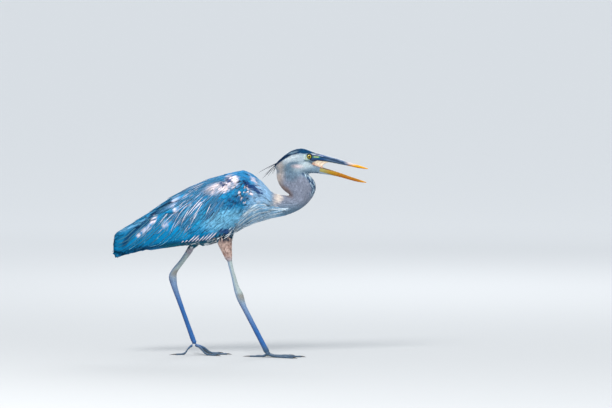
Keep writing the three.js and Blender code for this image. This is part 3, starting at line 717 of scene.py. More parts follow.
def vane_faces(rings, around):
    """Faces of one closed vane: a root point, rings, and a tip point."""
    faces = []
    last = 1 + (rings - 1) * around
    for side in range(around):
        following = (side + 1) % around
        faces.append((0, 1 + following, 1 + side))
        for near in range(1, last, around):
            far = near + around
            faces.append((near + side, near + following, far + following, far + side))
        faces.append((last + side, last + following, last + around))
    return faces


def join_vanes(name, roots, rings, tips, shades, bake, grain):
    """One mesh of many closed vanes. rings is (count, rings, around, 3); the rest follow it."""
    count, ring_count, around = rings.shape[:3]
    points = np.concatenate([roots[:, None], rings.reshape(count, -1, 3), tips[:, None]], 1)
    one = vane_faces(ring_count, around)
    per = points.shape[1]
    flat = np.array([corner for face in one for corner in face])
    loops = (flat[None] + (np.arange(count) * per)[:, None]).ravel()
    sizes = np.tile([len(face) for face in one], count)
    data = bpy.data.meshes.new(name)
    data.vertices.add(count * per)
    data.vertices.foreach_set("co", points.reshape(-1).astype(np.float32))
    data.loops.add(len(loops))
    data.loops.foreach_set("vertex_index", loops.astype(np.int32))
    data.polygons.add(len(sizes))
    data.polygons.foreach_set("loop_start", (np.cumsum(sizes) - sizes).astype(np.int32))
    data.update(calc_edges=True)
    for layer, values in (("OFBake", bake), ("vane", grain)):
        spots = values.reshape(-1, 2)[loops].astype(np.float32)
        data.uv_layers.new(name=layer).data.foreach_set("uv", spots.ravel())
    store_colour(data, shades.reshape(-1, 3))
    data.shade_smooth()
    piece = bpy.data.objects.new(name, data)
    bpy.context.scene.collection.objects.link(piece)
    return piece


def vane_maps(rings, section, lengths):
    """For each point of a vane: its place across, from -1 to 1, and its way along."""
    along = np.repeat((np.arange(rings) + 1) / (rings + 1), len(section))
    across = np.concatenate([[0.0], np.tile(section[:, 0], rings), [0.0]])
    along = np.concatenate([[0.0], along, [1.0]])
    grain = np.empty((len(lengths), len(across), 2))
    grain[:, :, 0] = across
    grain[:, :, 1] = along[None] * lengths[:, None] / MM
    return across, along, grain


def feather_finish(name, barb_scale, roughness, ridge, slope=3.2):
    """Barbs slant from the shaft to the edges, as fine ridges and streaks."""
    finish, nodes, links, shader, pigment, place = painted_finish(name, roughness)
    shader.inputs["Specular IOR Level"].default_value = 0.05
    vane = nodes.new("ShaderNodeUVMap")
    vane.uv_map = "vane"
    split = nodes.new("ShaderNodeSeparateXYZ")
    links.new(vane.outputs["UV"], split.inputs["Vector"])
    off_shaft = nodes.new("ShaderNodeMath")
    off_shaft.operation = "ABSOLUTE"
    links.new(split.outputs["X"], off_shaft.inputs[0])
    slant = nodes.new("ShaderNodeMath")
    slant.operation = "MULTIPLY_ADD"
    slant.inputs[1].default_value = -slope
    links.new(off_shaft.outputs["Value"], slant.inputs[0])
    links.new(split.outputs["Y"], slant.inputs[2])
    barb = nodes.new("ShaderNodeMath")
    barb.operation = "MULTIPLY"
    barb.inputs[1].default_value = barb_scale
    links.new(slant.outputs["Value"], barb.inputs[0])
    lines = nodes.new("ShaderNodeMath")
    lines.operation = "SINE"
    links.new(barb.outputs["Value"], lines.inputs[0])
    wear = noise_of(nodes, links, place, 380, 3)
    worn = shade_by(nodes, links, pigment.outputs["Color"], wear, 0.66, 1.32)
    streaks = nodes.new("ShaderNodeMath")
    streaks.operation = "MULTIPLY_ADD"
    streaks.inputs[1].default_value = 0.5
    streaks.inputs[2].default_value = 0.5
    links.new(lines.outputs["Value"], streaks.inputs[0])
    tone = shade_by(nodes, links, worn, streaks.outputs["Value"], 0.9, 1.06)
    links.new(tone, shader.inputs["Base Color"])
    links.new(raise_by(nodes, links, lines.outputs["Value"], ridge, 0.3 * MM), shader.inputs["Normal"])
    return finish


DOWN_FINISH = feather_finish("soft_feather", 5.0, 0.85, 0.1)
CONTOUR_FINISH = feather_finish("contour_feather", 4.2, 0.72, 0.22)


def leaf(fraction):
    """Half width along a vane: a quick swell from the root and a rounded point."""
    return np.sin(np.pi * np.clip(fraction, 0, 1) ** 0.75) ** 0.6


def lance(fraction):
    return np.clip(np.minimum(fraction / 0.22, 1), 0, 1) ** 0.6 * (1 - fraction**2.4)


def plume_coat(name, slot, places, length, width, rings, section, colour_of, finish, **habit):
    """Feathers laid along the body from places on the skin, ending in the plumage's outline."""
    points, marks = places
    count = len(points)
    form = habit.get("form", outline_form)
    heading_of = habit.get("lie", lambda spots: along_lie_line(spots)[0])
    depth = along_lie_line(points)[1]
    scatter = chance.normal(0, habit.get("ruffle", 0.12), (count, 3))
    here, normal = form.settle(points)
    heading = flatten(heading_of(here) + scatter, normal)
    fractions = np.arange(rings + 2) / (rings + 1)
    sunk = np.zeros(count) if form is skin_form else depth
    reach = depth * habit.get("stand", 1.0) * chance.uniform(0.8, 1.12, count)
    spine = np.empty((count, rings + 2, 3))
    rise = np.empty_like(spine)
    side = np.empty_like(spine)
    for row, fraction in enumerate(fractions):
        if row:
            here, normal = form.settle(here + heading * (length / (rings + 1))[:, None])
            heading = flatten(0.5 * heading + 0.5 * heading_of(here) + 0.5 * scatter, normal)
        lift = reach * (0.06 + 0.94 * fraction**0.6) - sunk - 0.3 * MM * (row == 0)
        spine[:, row] = here + normal * lift[:, None]
        rise[:, row] = normal
        side[:, row] = np.cross(normal, heading)
    profile = habit.get("profile", leaf)
    half = width[:, None] / 2 * profile(fractions[1:-1])[None]
    thick = np.minimum(half * habit.get("camber", 0.16), 0.9 * MM) + 0.04 * MM
    rows = slice(1, -1)
    ring = (
        spine[:, rows, None]
        + side[:, rows, None] * (half[:, :, None, None] * section[:, 0][None, None, :, None])
        + rise[:, rows, None] * (thick[:, :, None, None] * section[:, 1][None, None, :, None])
    )
    streak = chance.random(count)
    seen_at = spine + chance.normal(0, habit.get("scatter", 2.0) * MM, (count, 1, 3))
    colour = colour_of(seen_at.reshape(-1, 3), np.repeat(streak, rings + 2))
    colour = colour.reshape(count, rings + 2, 3)
    vary, dusk = habit.get("vary", 0.1), habit.get("dusk", 0.2)
    colour = colour * chance.uniform(1 - vary, 1 + vary, count)[:, None, None]
    dusk = np.broadcast_to(dusk, count)[:, None, None]
    # painted shade: each feather is darker towards its root, where the feathers over it shade it
    colour = colour * (1.06 - dusk * (1 - fractions)[None, :, None])
    fade = (habit.get("edge", 0.08) * chance.uniform(0.4, 1.5, count))[:, None, None, None]
    fade = fade * np.abs(section[:, 0])[None, None, :, None]
    tinted = colour[:, rows, None] * (1 - fade) + BARB_GREY * fade
    shades = np.concatenate([colour[:, :1], tinted.reshape(count, -1, 3), colour[:, -1:]], 1)
    across, along, grain = vane_maps(rings, section, length)
    bake = marks[:, None] + np.stack([(across + 1) / 2, along], 1)[None] * ROOT_PATCH
    piece = join_vanes(name, spine[:, 0], ring, spine[:, -1], np.clip(shades, 0, 0.95), bake, grain)
    piece.data.materials.append(finish)
    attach(piece, "root")
    return piece


def off_the_face(points):
    x, y, z = points[:, 0] / MM, np.abs(points[:, 1] / MM), points[:, 2] / MM
    eye = (np.hypot(x - 190.8, z - 550.5) < 8.4) & (y > 6)
    bill = (x > 211) & (z > 532)
    jaw_end = x > 220.5
    return ~((mouth_inside(points) > 0.5) | (lore_mask(points) > 0.5) | eye | bill | jaw_end)


def spread_of(count, low, high):
    return chance.uniform(low, high, count) * MM


face_places = sow(1.35 * MM, ["head"], off_the_face)
face_x = face_places[0][:, 0] / MM
face_size = np.interp(face_x, [90, 130, 175, 205, 222], [1.6, 1.4, 1.0, 0.6, 0.55])
plume_coat(
    "head_feathers", "head_feathers", face_places,
    face_size * spread_of(len(face_x), 6.5, 9.5), face_size * spread_of(len(face_x), 1.0, 1.5),
    2, HAIR, coat_colour, DOWN_FINISH, form=skin_form, ruffle=0.12, scatter=0.4, edge=0.04, stand=0.95,
)
neck_places = sow(2.4 * MM, ["neck_upper", "neck_middle", "neck_lower"])
neck_count = len(neck_places[0])
plume_coat(
    "neck_feathers", "neck_feathers", neck_places,
    spread_of(neck_count, 15, 26), spread_of(neck_count, 1.7, 2.6),
    4, HAIR, coat_colour, DOWN_FINISH, ruffle=0.11, scatter=1.2, edge=0.04, profile=lance,
)


def off_the_breast(points):
    x, z = points[:, 0] / MM, points[:, 2] / MM
    return patch(x, z, (70, 398), (56, 22), 20) < chance.random(len(points))


body_places = sow(6.6 * MM, ["trunk"], off_the_breast)
body_count = len(body_places[0])
plume_coat(
    "body_feathers", "flank_feathers", body_places,
    spread_of(body_count, 26, 36), spread_of(body_count, 9, 13),
    5, BROAD, coat_colour, CONTOUR_FINISH, ruffle=0.1,
)

# The thighs are rosy with brown streaks, under a dark edge where the flank ends.
THIGH_BROWN = paint(152, 108, 96)
THIGH_GREY = paint(182, 184, 200)


def thigh_colour(points, streak):
    x, z = points[:, 0] / MM, points[:, 2] / MM
    colour = mixed(np.tile(THIGH_ROSE, (len(points), 1)), THIGH_BROWN, (streak > 0.62) * 0.7)
    grey = np.maximum((x < -80) * 0.8, 0.7 * (1 - ease_between(z, 262, 282)))
    colour = mixed(colour, THIGH_GREY, grey)
    return mixed(colour, BELLY_INK, ease_between(z, 312, 326) * (streak > 0.2) * (x > -62))


def down_the_leg(points):
    return along_lie_line(points)[0] * 0.15 + np.array([0.0, 0.0, -1.0])


leg_tops = recast("leg_tops", ["trunk", "thigh_right", "thigh_left", "shank_right", "shank_left"],
                  1.8 * MM, SEAM_FILL, 8)
leg_form = Form(leg_tops)
bpy.data.objects.remove(leg_tops)


def above_the_shank(points):
    return (points[:, 2] > (276 + 12 * chance.random(len(points))) * MM) | (points[:, 0] < -80 * MM)


thigh_places = sow(2.5 * MM, ["thigh_right", "thigh_left"], above_the_shank)
thigh_count = len(thigh_places[0])
plume_coat(
    "thigh_feathers", "thigh_feathers", thigh_places,
    spread_of(thigh_count, 13, 20), spread_of(thigh_count, 2.2, 3.2),
    4, HAIR, thigh_colour, DOWN_FINISH, form=leg_form, ruffle=0.1, lie=down_the_leg, profile=lance,
)

# ------------------------------------------------------------------ wings
# The folded wings: small coverts on the arm, then tertials and secondaries that fan down and
# back from the shoulder, each one's upper neighbour lying over it. All are stiff vanes.
# The way the wing's feathers point, in degrees below straight back, at places of the side view.
WING_LIE = np.array(
    [
        (22, 507, 24), (-69, 502, 24), (-151, 458, 30), (-247, 400, 33), (-316, 345, 38),
        (-96, 444, 50), (-151, 400, 54), (-192, 362, 58), (-247, 342, 44), (-302, 312, 36),
        (-234, 307, 8), (-124, 322, 32), (-110, 342, 46), (-33, 417, 60), (-50, 362, 42),
        (14, 430, 60), (27, 472, 58), (-5, 370, 35),
    ],
    float,
)


def wing_lie(points):
    flat = points[:, [0, 2]] / MM
    weight = (np.linalg.norm(flat[:, None] - WING_LIE[None, :, :2], axis=2) + 6) ** -3.0
    angle = np.radians(weight @ WING_LIE[:, 2] / weight.sum(1))
    return np.stack([-np.cos(angle), np.zeros(len(angle)), -np.sin(angle)], 1)


arm_places = sow(7.0 * MM, ["wing_coverts_right", "wing_coverts_left"])
arm_x = arm_places[0][:, 0] / MM
arm_size = np.interp(arm_x, [-170, -60, 45], [1.5, 1.05, 0.62])
# Over the pale flank they are longer, narrower and softer edged, with less painted shade at their
# roots.
soft_flank = patch(arm_x, arm_places[0][:, 2] / MM, (-44, 374), (72, 36), 10, 0.6)
plume_coat(
    "wing_covert_feathers", "back_feathers", arm_places,
    arm_size * spread_of(len(arm_x), 28, 36) * (1 + 0.35 * soft_flank),
    arm_size * spread_of(len(arm_x), 11, 15) * (1 - 0.45 * soft_flank),
    6, BROAD, coat_colour, CONTOUR_FINISH, ruffle=0.07, lie=wing_lie,
    vary=0.22 - 0.15 * soft_flank, dusk=0.6 - 0.5 * soft_flank,
)

# A thin layer under the long feathers closes the gaps between them, and is painted dark as the shade
# there.
BED_DEPTH = 1.8 * MM
BED_END = 13 * MM  # a bed stops this far short of the longest feathers' tips


def shade_bed(name, nodes, voxel, drawn_in, stuffing=()):
    bed = recast(name, nodes, voxel, 0, 3, stuffing)
    points = points_of(bed.data)
    points = points - normals_of(bed.data) * drawn_in
    points[:, 0] += BED_END * ease_between(-points[:, 0] / MM, 318, 352)
    move_points(bed.data, points)
    unwrap(bed)
    # painted shade: the bed is the coat's colour at half strength, as the shade under the feathers over
    # it
    store_colour(bed.data, coat_colour(points, np.full(len(points), 0.5)) * 0.5)
    bed.data.materials.clear()
    bed.data.materials.append(SKIN_FINISH)
    bed.data.shade_smooth()
    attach(bed, "root")
    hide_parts(*nodes)
    return bed


shade_bed(
    "quill_bed", ["wing_quills_right", "wing_quills_left"], 1.5 * MM,
    BED_DEPTH, tip_slices,
)

# Across a long vane: an upper side of seven points with a raised shaft, and a flat lower side.
BLADE_ACROSS = np.array([-1, -0.6, -0.25, -0.05, 0.05, 0.25, 0.5, 0.8, 1, 0.66, 0.3, -0.3, -0.66])
BLADE_RISE = np.array([0, 0.28, 0.42, 0.95, 0.95, 0.42, 0.33, 0.18, 0, -0.35, -0.4, -0.4, -0.35])
BLADE = np.stack([BLADE_ACROSS, BLADE_RISE], 1)


def bezier(start, bend, end, steps):
    share = np.linspace(0, 1, steps)[:, None]
    return start * (1 - share) ** 2 + bend * 2 * share * (1 - share) + end * share**2


def draped_vanes(name, routes, width, lift, tilt, thick, tones, finish, profile, grid):
    """Long feathers laid on the plumage's outline. Each route is (hand, points of the side view),
    or (0, points of the top view).

    A vane's lower edge is raised by tilt, so that it lies over its neighbour like a tile.
    """
    count = len(routes)
    rings = len(routes[0][1]) - 2
    around = len(BLADE)
    roots, tips = np.empty((count, 3)), np.empty((count, 3))
    ring = np.empty((count, rings, around, 3))
    lengths = np.empty(count)
    fractions = np.arange(rings + 2) / (rings + 1)
    for number, (hand, flat) in enumerate(routes):
        spine, normal = outline_form.from_side(flat, hand) if hand else outline_form.from_above(flat)
        heading = flatten(np.gradient(spine, axis=0), normal)
        side = np.cross(normal, heading)
        lengths[number] = np.linalg.norm(np.diff(spine, axis=0), axis=1).sum()
        half = width[number] / 2 * profile(fractions) * (1 + 0.03 * np.sin(fractions * 37 + number))
        spread = spine[:, None] + side[:, None] * (half[:, None] * BLADE_ACROSS[None])[:, :, None]
        base, out = outline_form.settle(spread.reshape(-1, 3))
        base, out = base.reshape(-1, around, 3), out.reshape(-1, around, 3)
        raised = tilt * (1 - hand * BLADE_ACROSS) / 2
        height = lift[number][:, None] + raised[None] + thick * BLADE_RISE[None]
        ring[number] = (base + out * height[:, :, None])[1:-1]
        roots[number] = spine[0] + normal[0] * lift[number][0]
        tips[number] = spine[-1] + normal[-1] * (lift[number][-1] + tilt / 2)
    across, along, grain = vane_maps(rings, BLADE, lengths)
    hands = np.array([hand or 1 for hand, flat in routes])
    points = np.concatenate([roots[:, None], ring.reshape(count, -1, 3), tips[:, None]], 1)
    shades = tones(points, -hands[:, None] * across[None], along)
    cell = np.arange(count)
    corner = np.stack([cell % grid, cell // grid], 1) / grid
    inset = np.stack([(across + 1) / 2, along], 1) * 0.9 / grid
    shades = np.clip(shades, 0, 0.95)
    piece = join_vanes(name, roots, ring, tips, shades, corner[:, None] + inset[None], grain)
    piece.data.materials.append(finish)
    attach(piece, "root")
    return piece


QUILL_FINISH = feather_finish("stiff_feather", 4.6, 0.55, 0.12, 13)
QUILL_SHAFT = paint(90, 160, 196)
QUILL_EDGE = paint(120, 190, 214)
QUILL_ROWS = 26
QUILLS_A_SIDE = 16
QUILL_TILT = 1.9 * MM
# Where the fan's feathers root, bend and end, from the back down to the wing's lower edge.
FAN = [0.0, 0.2, 0.4, 0.6, 0.8, 1.0]
FAN_ROOT = np.array(
    [(-181, 439), (-187, 430), (-187, 419), (-160, 397), (-148, 375), (-132, 353)], float
)
FAN_BEND = np.array(
    [(-269, 389), (-264, 370), (-258, 342), (-206, 312), (-181, 309), (-159, 312)], float
)
FAN_TIP = np.array(
    [(-347, 322), (-351, 294), (-345, 274), (-291, 293), (-253, 299), (-209, 307)], float
)
FAN_WIDTH = [36, 44, 46, 40, 33, 28]


def fan_at(stations, share):
    return np.array([np.interp(share, FAN, stations[:, 0]), np.interp(share, FAN, stations[:, 1])])


def quill_profile(fraction):
    return np.clip(fraction / 0.12, 0, 1) ** 0.5 * np.clip((1 - fraction) / 0.16, 0, 1) ** 0.45


# Worn whitish patches on the open webs of the rear feathers, in the side view.
WORN_STREAK = [(-234, 383), (-243, 362), (-258, 351), (-277, 336)]
WORN_PATCH = (-206, 366)


def worn_webs(points):
    x, z = points[:, :, 0].ravel() / MM, points[:, :, 2].ravel() / MM
    worn = stroke(x, z, WORN_STREAK, 6.5) + patch(x, z, WORN_PATCH, (12, 8), -65)
    worn = worn * np.clip(0.7 + 2.2 * ripple(points.reshape(-1, 3) / MM, 2.2, 0.7), 0, 1)
    ragged = chance.uniform(0.35, 1.0, (len(points), 1))
    return np.clip(worn, 0, 1).reshape(points.shape[:2]) * ragged


def quill_tones(points, across, along):
    """across is 1 on a feather's open lower edge and -1 on its covered upper edge."""
    count, per = points.shape[:2]
    base = coat_colour(points.reshape(-1, 3), np.full(count * per, 0.5)).reshape(count, per, 3)
    lit = chance.uniform(0.8, 1.25, (count, 1))
    # painted shade: darker towards the covered upper edge, which the neighbour over it shades
    dusk = 0.55 + 0.6 * ease_between(across, -0.9, 0.3)
    base = base * (lit * dusk)[:, :, None]
    worn = (worn_webs(points) * (0.25 + 0.75 * ease_between(across, -0.3, 0.1)))[:, :, None]
    base = base * (1 - worn) + ROSE_WHITE * worn
    hem = np.interp(-points[:, :, 0] / MM, [60, 179, 289, 330], [322, 311, 294, 280])
    rim = ease_between(across, 0.8, 1.0) * chance.uniform(0.3, 0.95, (count, 1))
    rim = (rim * ease_between(points[:, :, 2] / MM - hem, 4, 24))[:, :, None]
    base = base * (1 - rim) + QUILL_EDGE * rim
    shaft = ((np.abs(across) < 0.1) * 0.3 * (1 - ease_between(along, 0.5, 1.0))[None])[:, :, None]
    return base * (1 - shaft) + QUILL_SHAFT * shaft


quill_routes, quill_width, quill_lift = [], [], []
for hand in (-1, 1):
    for number in range(QUILLS_A_SIDE):
        share = 1 - number / (QUILLS_A_SIDE - 1)
        wobble = chance.normal(0, 3, 2)
        short = np.array([chance.uniform(0, 7), 0])
        flat = bezier(fan_at(FAN_ROOT, share), fan_at(FAN_BEND, share) + wobble,
                      fan_at(FAN_TIP, share) + short, QUILL_ROWS)
        quill_routes.append((hand, flat))
        quill_width.append(np.interp(share, FAN, FAN_WIDTH) * MM * chance.uniform(0.92, 1.08))
        sunk = 4.5 * MM * (1 - ease_between(np.linspace(0, 1, QUILL_ROWS), 0.0, 0.3))
        quill_lift.append(0.1 * MM + number * 0.05 * MM - sunk)
draped_vanes(
    "flight_feathers", quill_routes, np.array(quill_width), quill_lift, QUILL_TILT,
    0.7 * MM, quill_tones, QUILL_FINISH, quill_profile, 8,
)

# Tertials lie in rows like tiles over the back, behind the plumes and over the long feathers'
# roots. They are given in the top view: each row's start, and each track's share of the width.
TERTIAL_ROWS = 14
TERTIAL_STARTS = [-122, -146, -170, -194, -217, -239, -259, -277, -293]
TERTIAL_TRACKS = [-1.0, -0.6, -0.2, 0.2, 0.6, 1.0]
TERTIAL_LENGTH = 86
WING_END = -346
BACK_HALF = np.array([(-352, 13), (-300, 19), (-250, 26), (-150, 44), (-110, 50)], float)
tertial_routes, tertial_lift = [], []
for row, start in enumerate(TERTIAL_STARTS):
    for track in TERTIAL_TRACKS:
        front = start + chance.uniform(-4, 4)
        back = max(front - TERTIAL_LENGTH * chance.uniform(0.86, 1.0), WING_END + chance.uniform(0, 6))
        x = np.linspace(front, back, TERTIAL_ROWS)
        share = track + (0.2 if row % 2 else 0.0) - 0.1
        y = share * np.interp(x, BACK_HALF[:, 0], BACK_HALF[:, 1])
        tertial_routes.append((0, np.stack([x, y], 1)))
        tertial_lift.append((np.linspace(-1.6, 3.0, TERTIAL_ROWS) + 0.5 * (track > 0)) * MM)
draped_vanes(
    "tertials", tertial_routes, spread_of(len(tertial_routes), 17, 21), tertial_lift,
    0.6 * MM, 0.6 * MM, quill_tones, QUILL_FINISH, leaf, 8,
)

# The primaries are stacked inside the folded wing tips, each layer deeper than the one over it,
# and close the wings behind. They are laid from above, and a few more from each side.
STACK_ROWS = 12
STACK_START = -266
STACK_PITCH = 3.6  # depth from one layer to the next, in millimetres
STACK_WIDTH = 15 * MM
STACK_TRACKS = [-0.9, -0.45, 0.0, 0.45, 0.9]
STACK_HEIGHTS = [310, 301]
stack_routes, stack_lift = [], []
for layer in range(4):
    x = np.linspace(STACK_START, WING_END - 2, STACK_ROWS)
    lift = np.full(STACK_ROWS, -(1.2 + STACK_PITCH * layer) * MM)
    for track in STACK_TRACKS:
        y = (track + chance.uniform(-0.1, 0.1)) * np.interp(x, BACK_HALF[:, 0], BACK_HALF[:, 1])
        stack_routes.append((0, np.stack([x, y], 1)))
        stack_lift.append(lift)
    for hand in (-1, 1):
        for height in STACK_HEIGHTS:
            stack_routes.append((hand, np.stack([x, np.full(STACK_ROWS, height)], 1)))
            stack_lift.append(lift)
draped_vanes(
    "stacked_primaries", stack_routes,
    np.full(len(stack_routes), STACK_WIDTH), stack_lift, 1.0 * MM, 0.7 * MM, quill_tones,
    QUILL_FINISH, quill_profile, 8,
)

# A row of short striped feathers along the wing's lower edge, ahead of the long ones: each is
# dark on one web and pale on the other, so that the row reads as slanted lines.
STRIPE_COUNT = 9
STRIPE_FIRST = -162  # the hindmost stripe's foot, in millimetres
STRIPE_PITCH = 9.2
STRIPE_ROWS = 9
STRIPE_PALE = paint(252, 238, 244)
STRIPE_TEAL = paint(0, 92, 140)


def stripe_tones(points, across, along):
    count, per = points.shape[:2]
    ground = coat_colour(points.reshape(-1, 3), np.full(count * per, 0.5)).reshape(count, per, 3)
    teal = 0.55 * ease_between(along, 0.2, 0.7)[None, :, None]
    pale = (ease_between(across, 0.36, 0.5) * ease_between(along, 0.1, 0.4)[None])[:, :, None] * 0.95
    base = ground * (1 - teal) + STRIPE_TEAL * teal
    return (base * (1 - pale) + STRIPE_PALE * pale) * chance.uniform(0.88, 1.08, (count, 1, 1))


stripe_routes = []
for hand in (-1, 1):
    for number in range(STRIPE_COUNT):
        foot = STRIPE_FIRST + number * STRIPE_PITCH
        low = np.interp(foot, [-176, -120, -80], [315.5, 319, 325])
        reach = np.interp(foot, [-176, -120, -80], [20, 26, 29]) + chance.uniform(-3, 3)
        start, end = np.array([foot + reach, low + reach * 0.95]), np.array([foot, low])
        bend = (start + end) / 2 + np.array([-2, 2])
        stripe_routes.append((hand, bezier(start, bend, end, STRIPE_ROWS)))
draped_vanes(
    "striped_feathers", stripe_routes, np.full(len(stripe_routes), 11.0 * MM),
    [np.linspace(-0.9, 2.0, STRIPE_ROWS) * MM] * len(stripe_routes), 0.9 * MM, 0.4 * MM,
    stripe_tones, CONTOUR_FINISH, leaf, 8,
)

# ------------------------------------------------------------------ tail
# Twelve stiff tail feathers under the wing tips, folded narrow, over a bed painted dark as shade.
shade_bed("tail_bed", ["tail"], 1.5 * MM, 1.0 * MM)
TAIL_VANES = 12
TAIL_ROWS = 12
tail_routes, tail_width, tail_lift = [], [], []
for number in range(TAIL_VANES):
    hand = -1 if number % 2 else 1
    share = (number // 2) / (TAIL_VANES / 2 - 1)
    root = np.array([-262, 302 - 4 * share])
    end = np.array([-352 + 14 * share**2, 288 - 13 * share])
    bend = (root + end) / 2 + np.array([0, -1.5])
    tail_routes.append((hand, bezier(root, bend, end, TAIL_ROWS)))
    tail_width.append(17 * MM)
    tail_lift.append(np.full(TAIL_ROWS, (1 - share) * 1.2 * MM + 0.2 * MM))
draped_vanes(
    "tail_feathers", tail_routes, np.array(tail_width), tail_lift, 0.5 * MM,
    0.6 * MM, quill_tones, QUILL_FINISH, quill_profile, 8,
)

# ------------------------------------------------------------------ scapular plumes
# Long narrow plumes from the shoulders, which hang down and back over the wings. Some are
# pale, the edges of all fade paler, and the finish streaks them finely.
PLUME_TEAL = paint(30, 128, 178)
PLUME_PALE = paint(214, 214, 232)
SCAPULAR_ROWS = 9


def on_the_scapulars(points):
    x, z = points[:, 0] / MM, points[:, 2] / MM
    return patch(x, z, (-84, 462), (78, 26), 22) > chance.random(len(points)) * 0.9


def scapular_colour(points, streak):
    colour = coat_colour(points, streak)
    x, z = points[:, 0] / MM, points[:, 2] / MM
    colour = mixed(colour, PLUME_TEAL, 0.5 * (1 - patch(x, z, (-48, 468), (60, 22), 8)))
    pale = (streak > 0.84) * ease_between(-x, 60, 110)
    return mixed(colour, PLUME_PALE, pale * 0.75)


scapular_places = sow(6.4 * MM, ["trunk", "wing_coverts_right", "wing_coverts_left"], on_the_scapulars)
scapular_count = len(scapular_places[0])
plume_coat(
    "scapular_plumes", "back_feathers", scapular_places,
    spread_of(scapular_count, 70, 135), spread_of(scapular_count, 3.6, 6.5),
    SCAPULAR_ROWS, SLIM, scapular_colour, CONTOUR_FINISH, ruffle=0.09, lie=wing_lie, profile=lance,
    stand=1.4, scatter=0.5, edge=0.25, vary=0.3, dusk=0.4,
)

# The longest plumes, pale and almost bare of barbs, lie singly over the wing. Each is given
# by its root, bend and end in the side view.
STREAMERS = [
    ((-89, 453), (-132, 412), (-160, 369)),
    ((-86, 446), (-114, 412), (-132, 373)),
    ((-112, 402), (-126, 384), (-137, 360)),
    ((-152, 412), (-180, 376), (-193, 335)),
    ((-134, 414), (-153, 388), (-162, 362)),
    ((-74, 430), (-86, 411), (-93, 390)),
    ((-170, 424), (-206, 389), (-228, 357)),
    ((-206, 404), (-248, 370), (-282, 334)),
    ((-192, 350), (-208, 306), (-252, 306)),
    ((-178, 356), (-190, 318), (-228, 305)),
    ((-256, 340), (-284, 304), (-318, 290)),
    ((-120, 430), (-156, 398), (-172, 366)),
]
STREAMER_ROWS = 16
STREAMER_PALE = paint(248, 238, 244)
STREAMER_CYAN = paint(130, 196, 222)


def streamer_tones(points, across, along):
    count, per = points.shape[:2]
    base = coat_colour(points.reshape(-1, 3), np.full(count * per, 0.5)).reshape(count, per, 3)
    shade = np.where(np.arange(count)[:, None, None] % len(STREAMERS) < 8, STREAMER_PALE, STREAMER_CYAN)
    shown = (ease_between(along, 0.05, 0.3) * (1 - 0.5 * ease_between(along, 0.8, 1.0)))[None, :, None]
    shown = shown * (0.9 - 0.35 * np.abs(across))[:, :, None]
    return base * (1 - shown) + shade * shown


streamer_routes, streamer_width = [], []
for hand in (-1, 1):
    for root, bend, end in STREAMERS:
        shift = chance.normal(0, 2.5, 2) * (hand > 0)
        spots = [np.array(spot, float) for spot in (root, bend, end)]
        curve = bezier(*spots, STREAMER_ROWS)
        streamer_routes.append((hand, curve + shift))
        streamer_width.append(chance.uniform(1.8, 2.9) * MM)
draped_vanes(
    "streamers", streamer_routes, np.array(streamer_width),
    [np.linspace(0.8, 2.6, STREAMER_ROWS) * MM] * len(streamer_routes), 0.2 * MM, 0.7 * MM,
    streamer_tones, CONTOUR_FINISH, lance, 8,
)

# ------------------------------------------------------------------ breast plumes
# Lance-shaped plumes that hang from the base of the neck and trail back under the breast.
# Under the plumes lies a bed painted dark as shade.
shade_bed("breast_bed", ["breast_plumes"], 1.5 * MM, 1.6 * MM)
BREAST_WHITE = paint(214, 234, 248)
BREAST_BLUE = paint(108, 168, 208)
BREAST_DOWN = paint(240, 244, 248)


def breast_colour(points, streak):
    colour = mixed(np.tile(BREAST_WHITE, (len(points), 1)), BREAST_BLUE, (streak > 0.45) * 0.85)
    downy = (streak < 0.12) * 0.8 * (1 - ease_between(points[:, 0] / MM, 30, 80))
    colour = mixed(colour, BREAST_DOWN, downy)
    back = ease_between(-points[:, 0] / MM, -30, 60)
    inked = mixed(np.tile(BREAST_DOWN, (len(points), 1)), BELLY_INK, (streak > 0.45) * 0.95)
    return mixed(colour, inked, back)


def under_the_breast(points):
    x, y, z = points[:, 0] / MM, points[:, 1] / MM, points[:, 2] / MM
    line = np.interp(x, [-60, 0, 60, 130, 170], [330, 358, 392, 412, 424])
    keel = (z < line) & (x > -60) & (x < 150) & (np.abs(y) < 26)
    flank = patch(x, z, (62, 398), (52, 21), 20) > chance.random(len(points))
    return (keel | flank) & ~((x > 84) & (z > 412))


def along_the_keel(points):
    """The plumes arch over the breast's side and trail straight along the keel."""
    x, z = points[:, 0] / MM, points[:, 2] / MM
    keel = np.interp(x, [-60, 0, 60, 110, 150], [18, 26, 25, 14, -4])
    arch = np.interp(x, [-60, 0, 20, 40, 57, 85, 110], [24, 40, 44, 34, 12, -12, -4])
    line = np.interp(x, [-60, 0, 60, 130, 170], [322, 350, 382, 404, 416])
    slope = np.radians(keel + (arch - keel) * ease_between(z, line, line + 18))
    return np.stack([-np.cos(slope), np.zeros(len(slope)), -np.sin(slope)], 1)


breast_places = sow(4.6 * MM, ["trunk", "neck_lower", "neck_middle"], under_the_breast)
breast_count = len(breast_places[0])
plume_coat(
    "breast_plume_feathers", "breast_feathers", breast_places,
    spread_of(breast_count, 40, 75), spread_of(breast_count, 3.0, 4.6),
    7, SLIM, breast_colour, CONTOUR_FINISH, ruffle=0.07, lie=along_the_keel, profile=lance,
    stand=1.15, scatter=0.5, edge=0.1,
)

# ------------------------------------------------------------------ crest
# Thin black plumes that grow from the nape and stand off behind the head, with the short
# wisps between them. Each is one narrow vane with a fine point.
CREST_INK = paint(10, 24, 40)
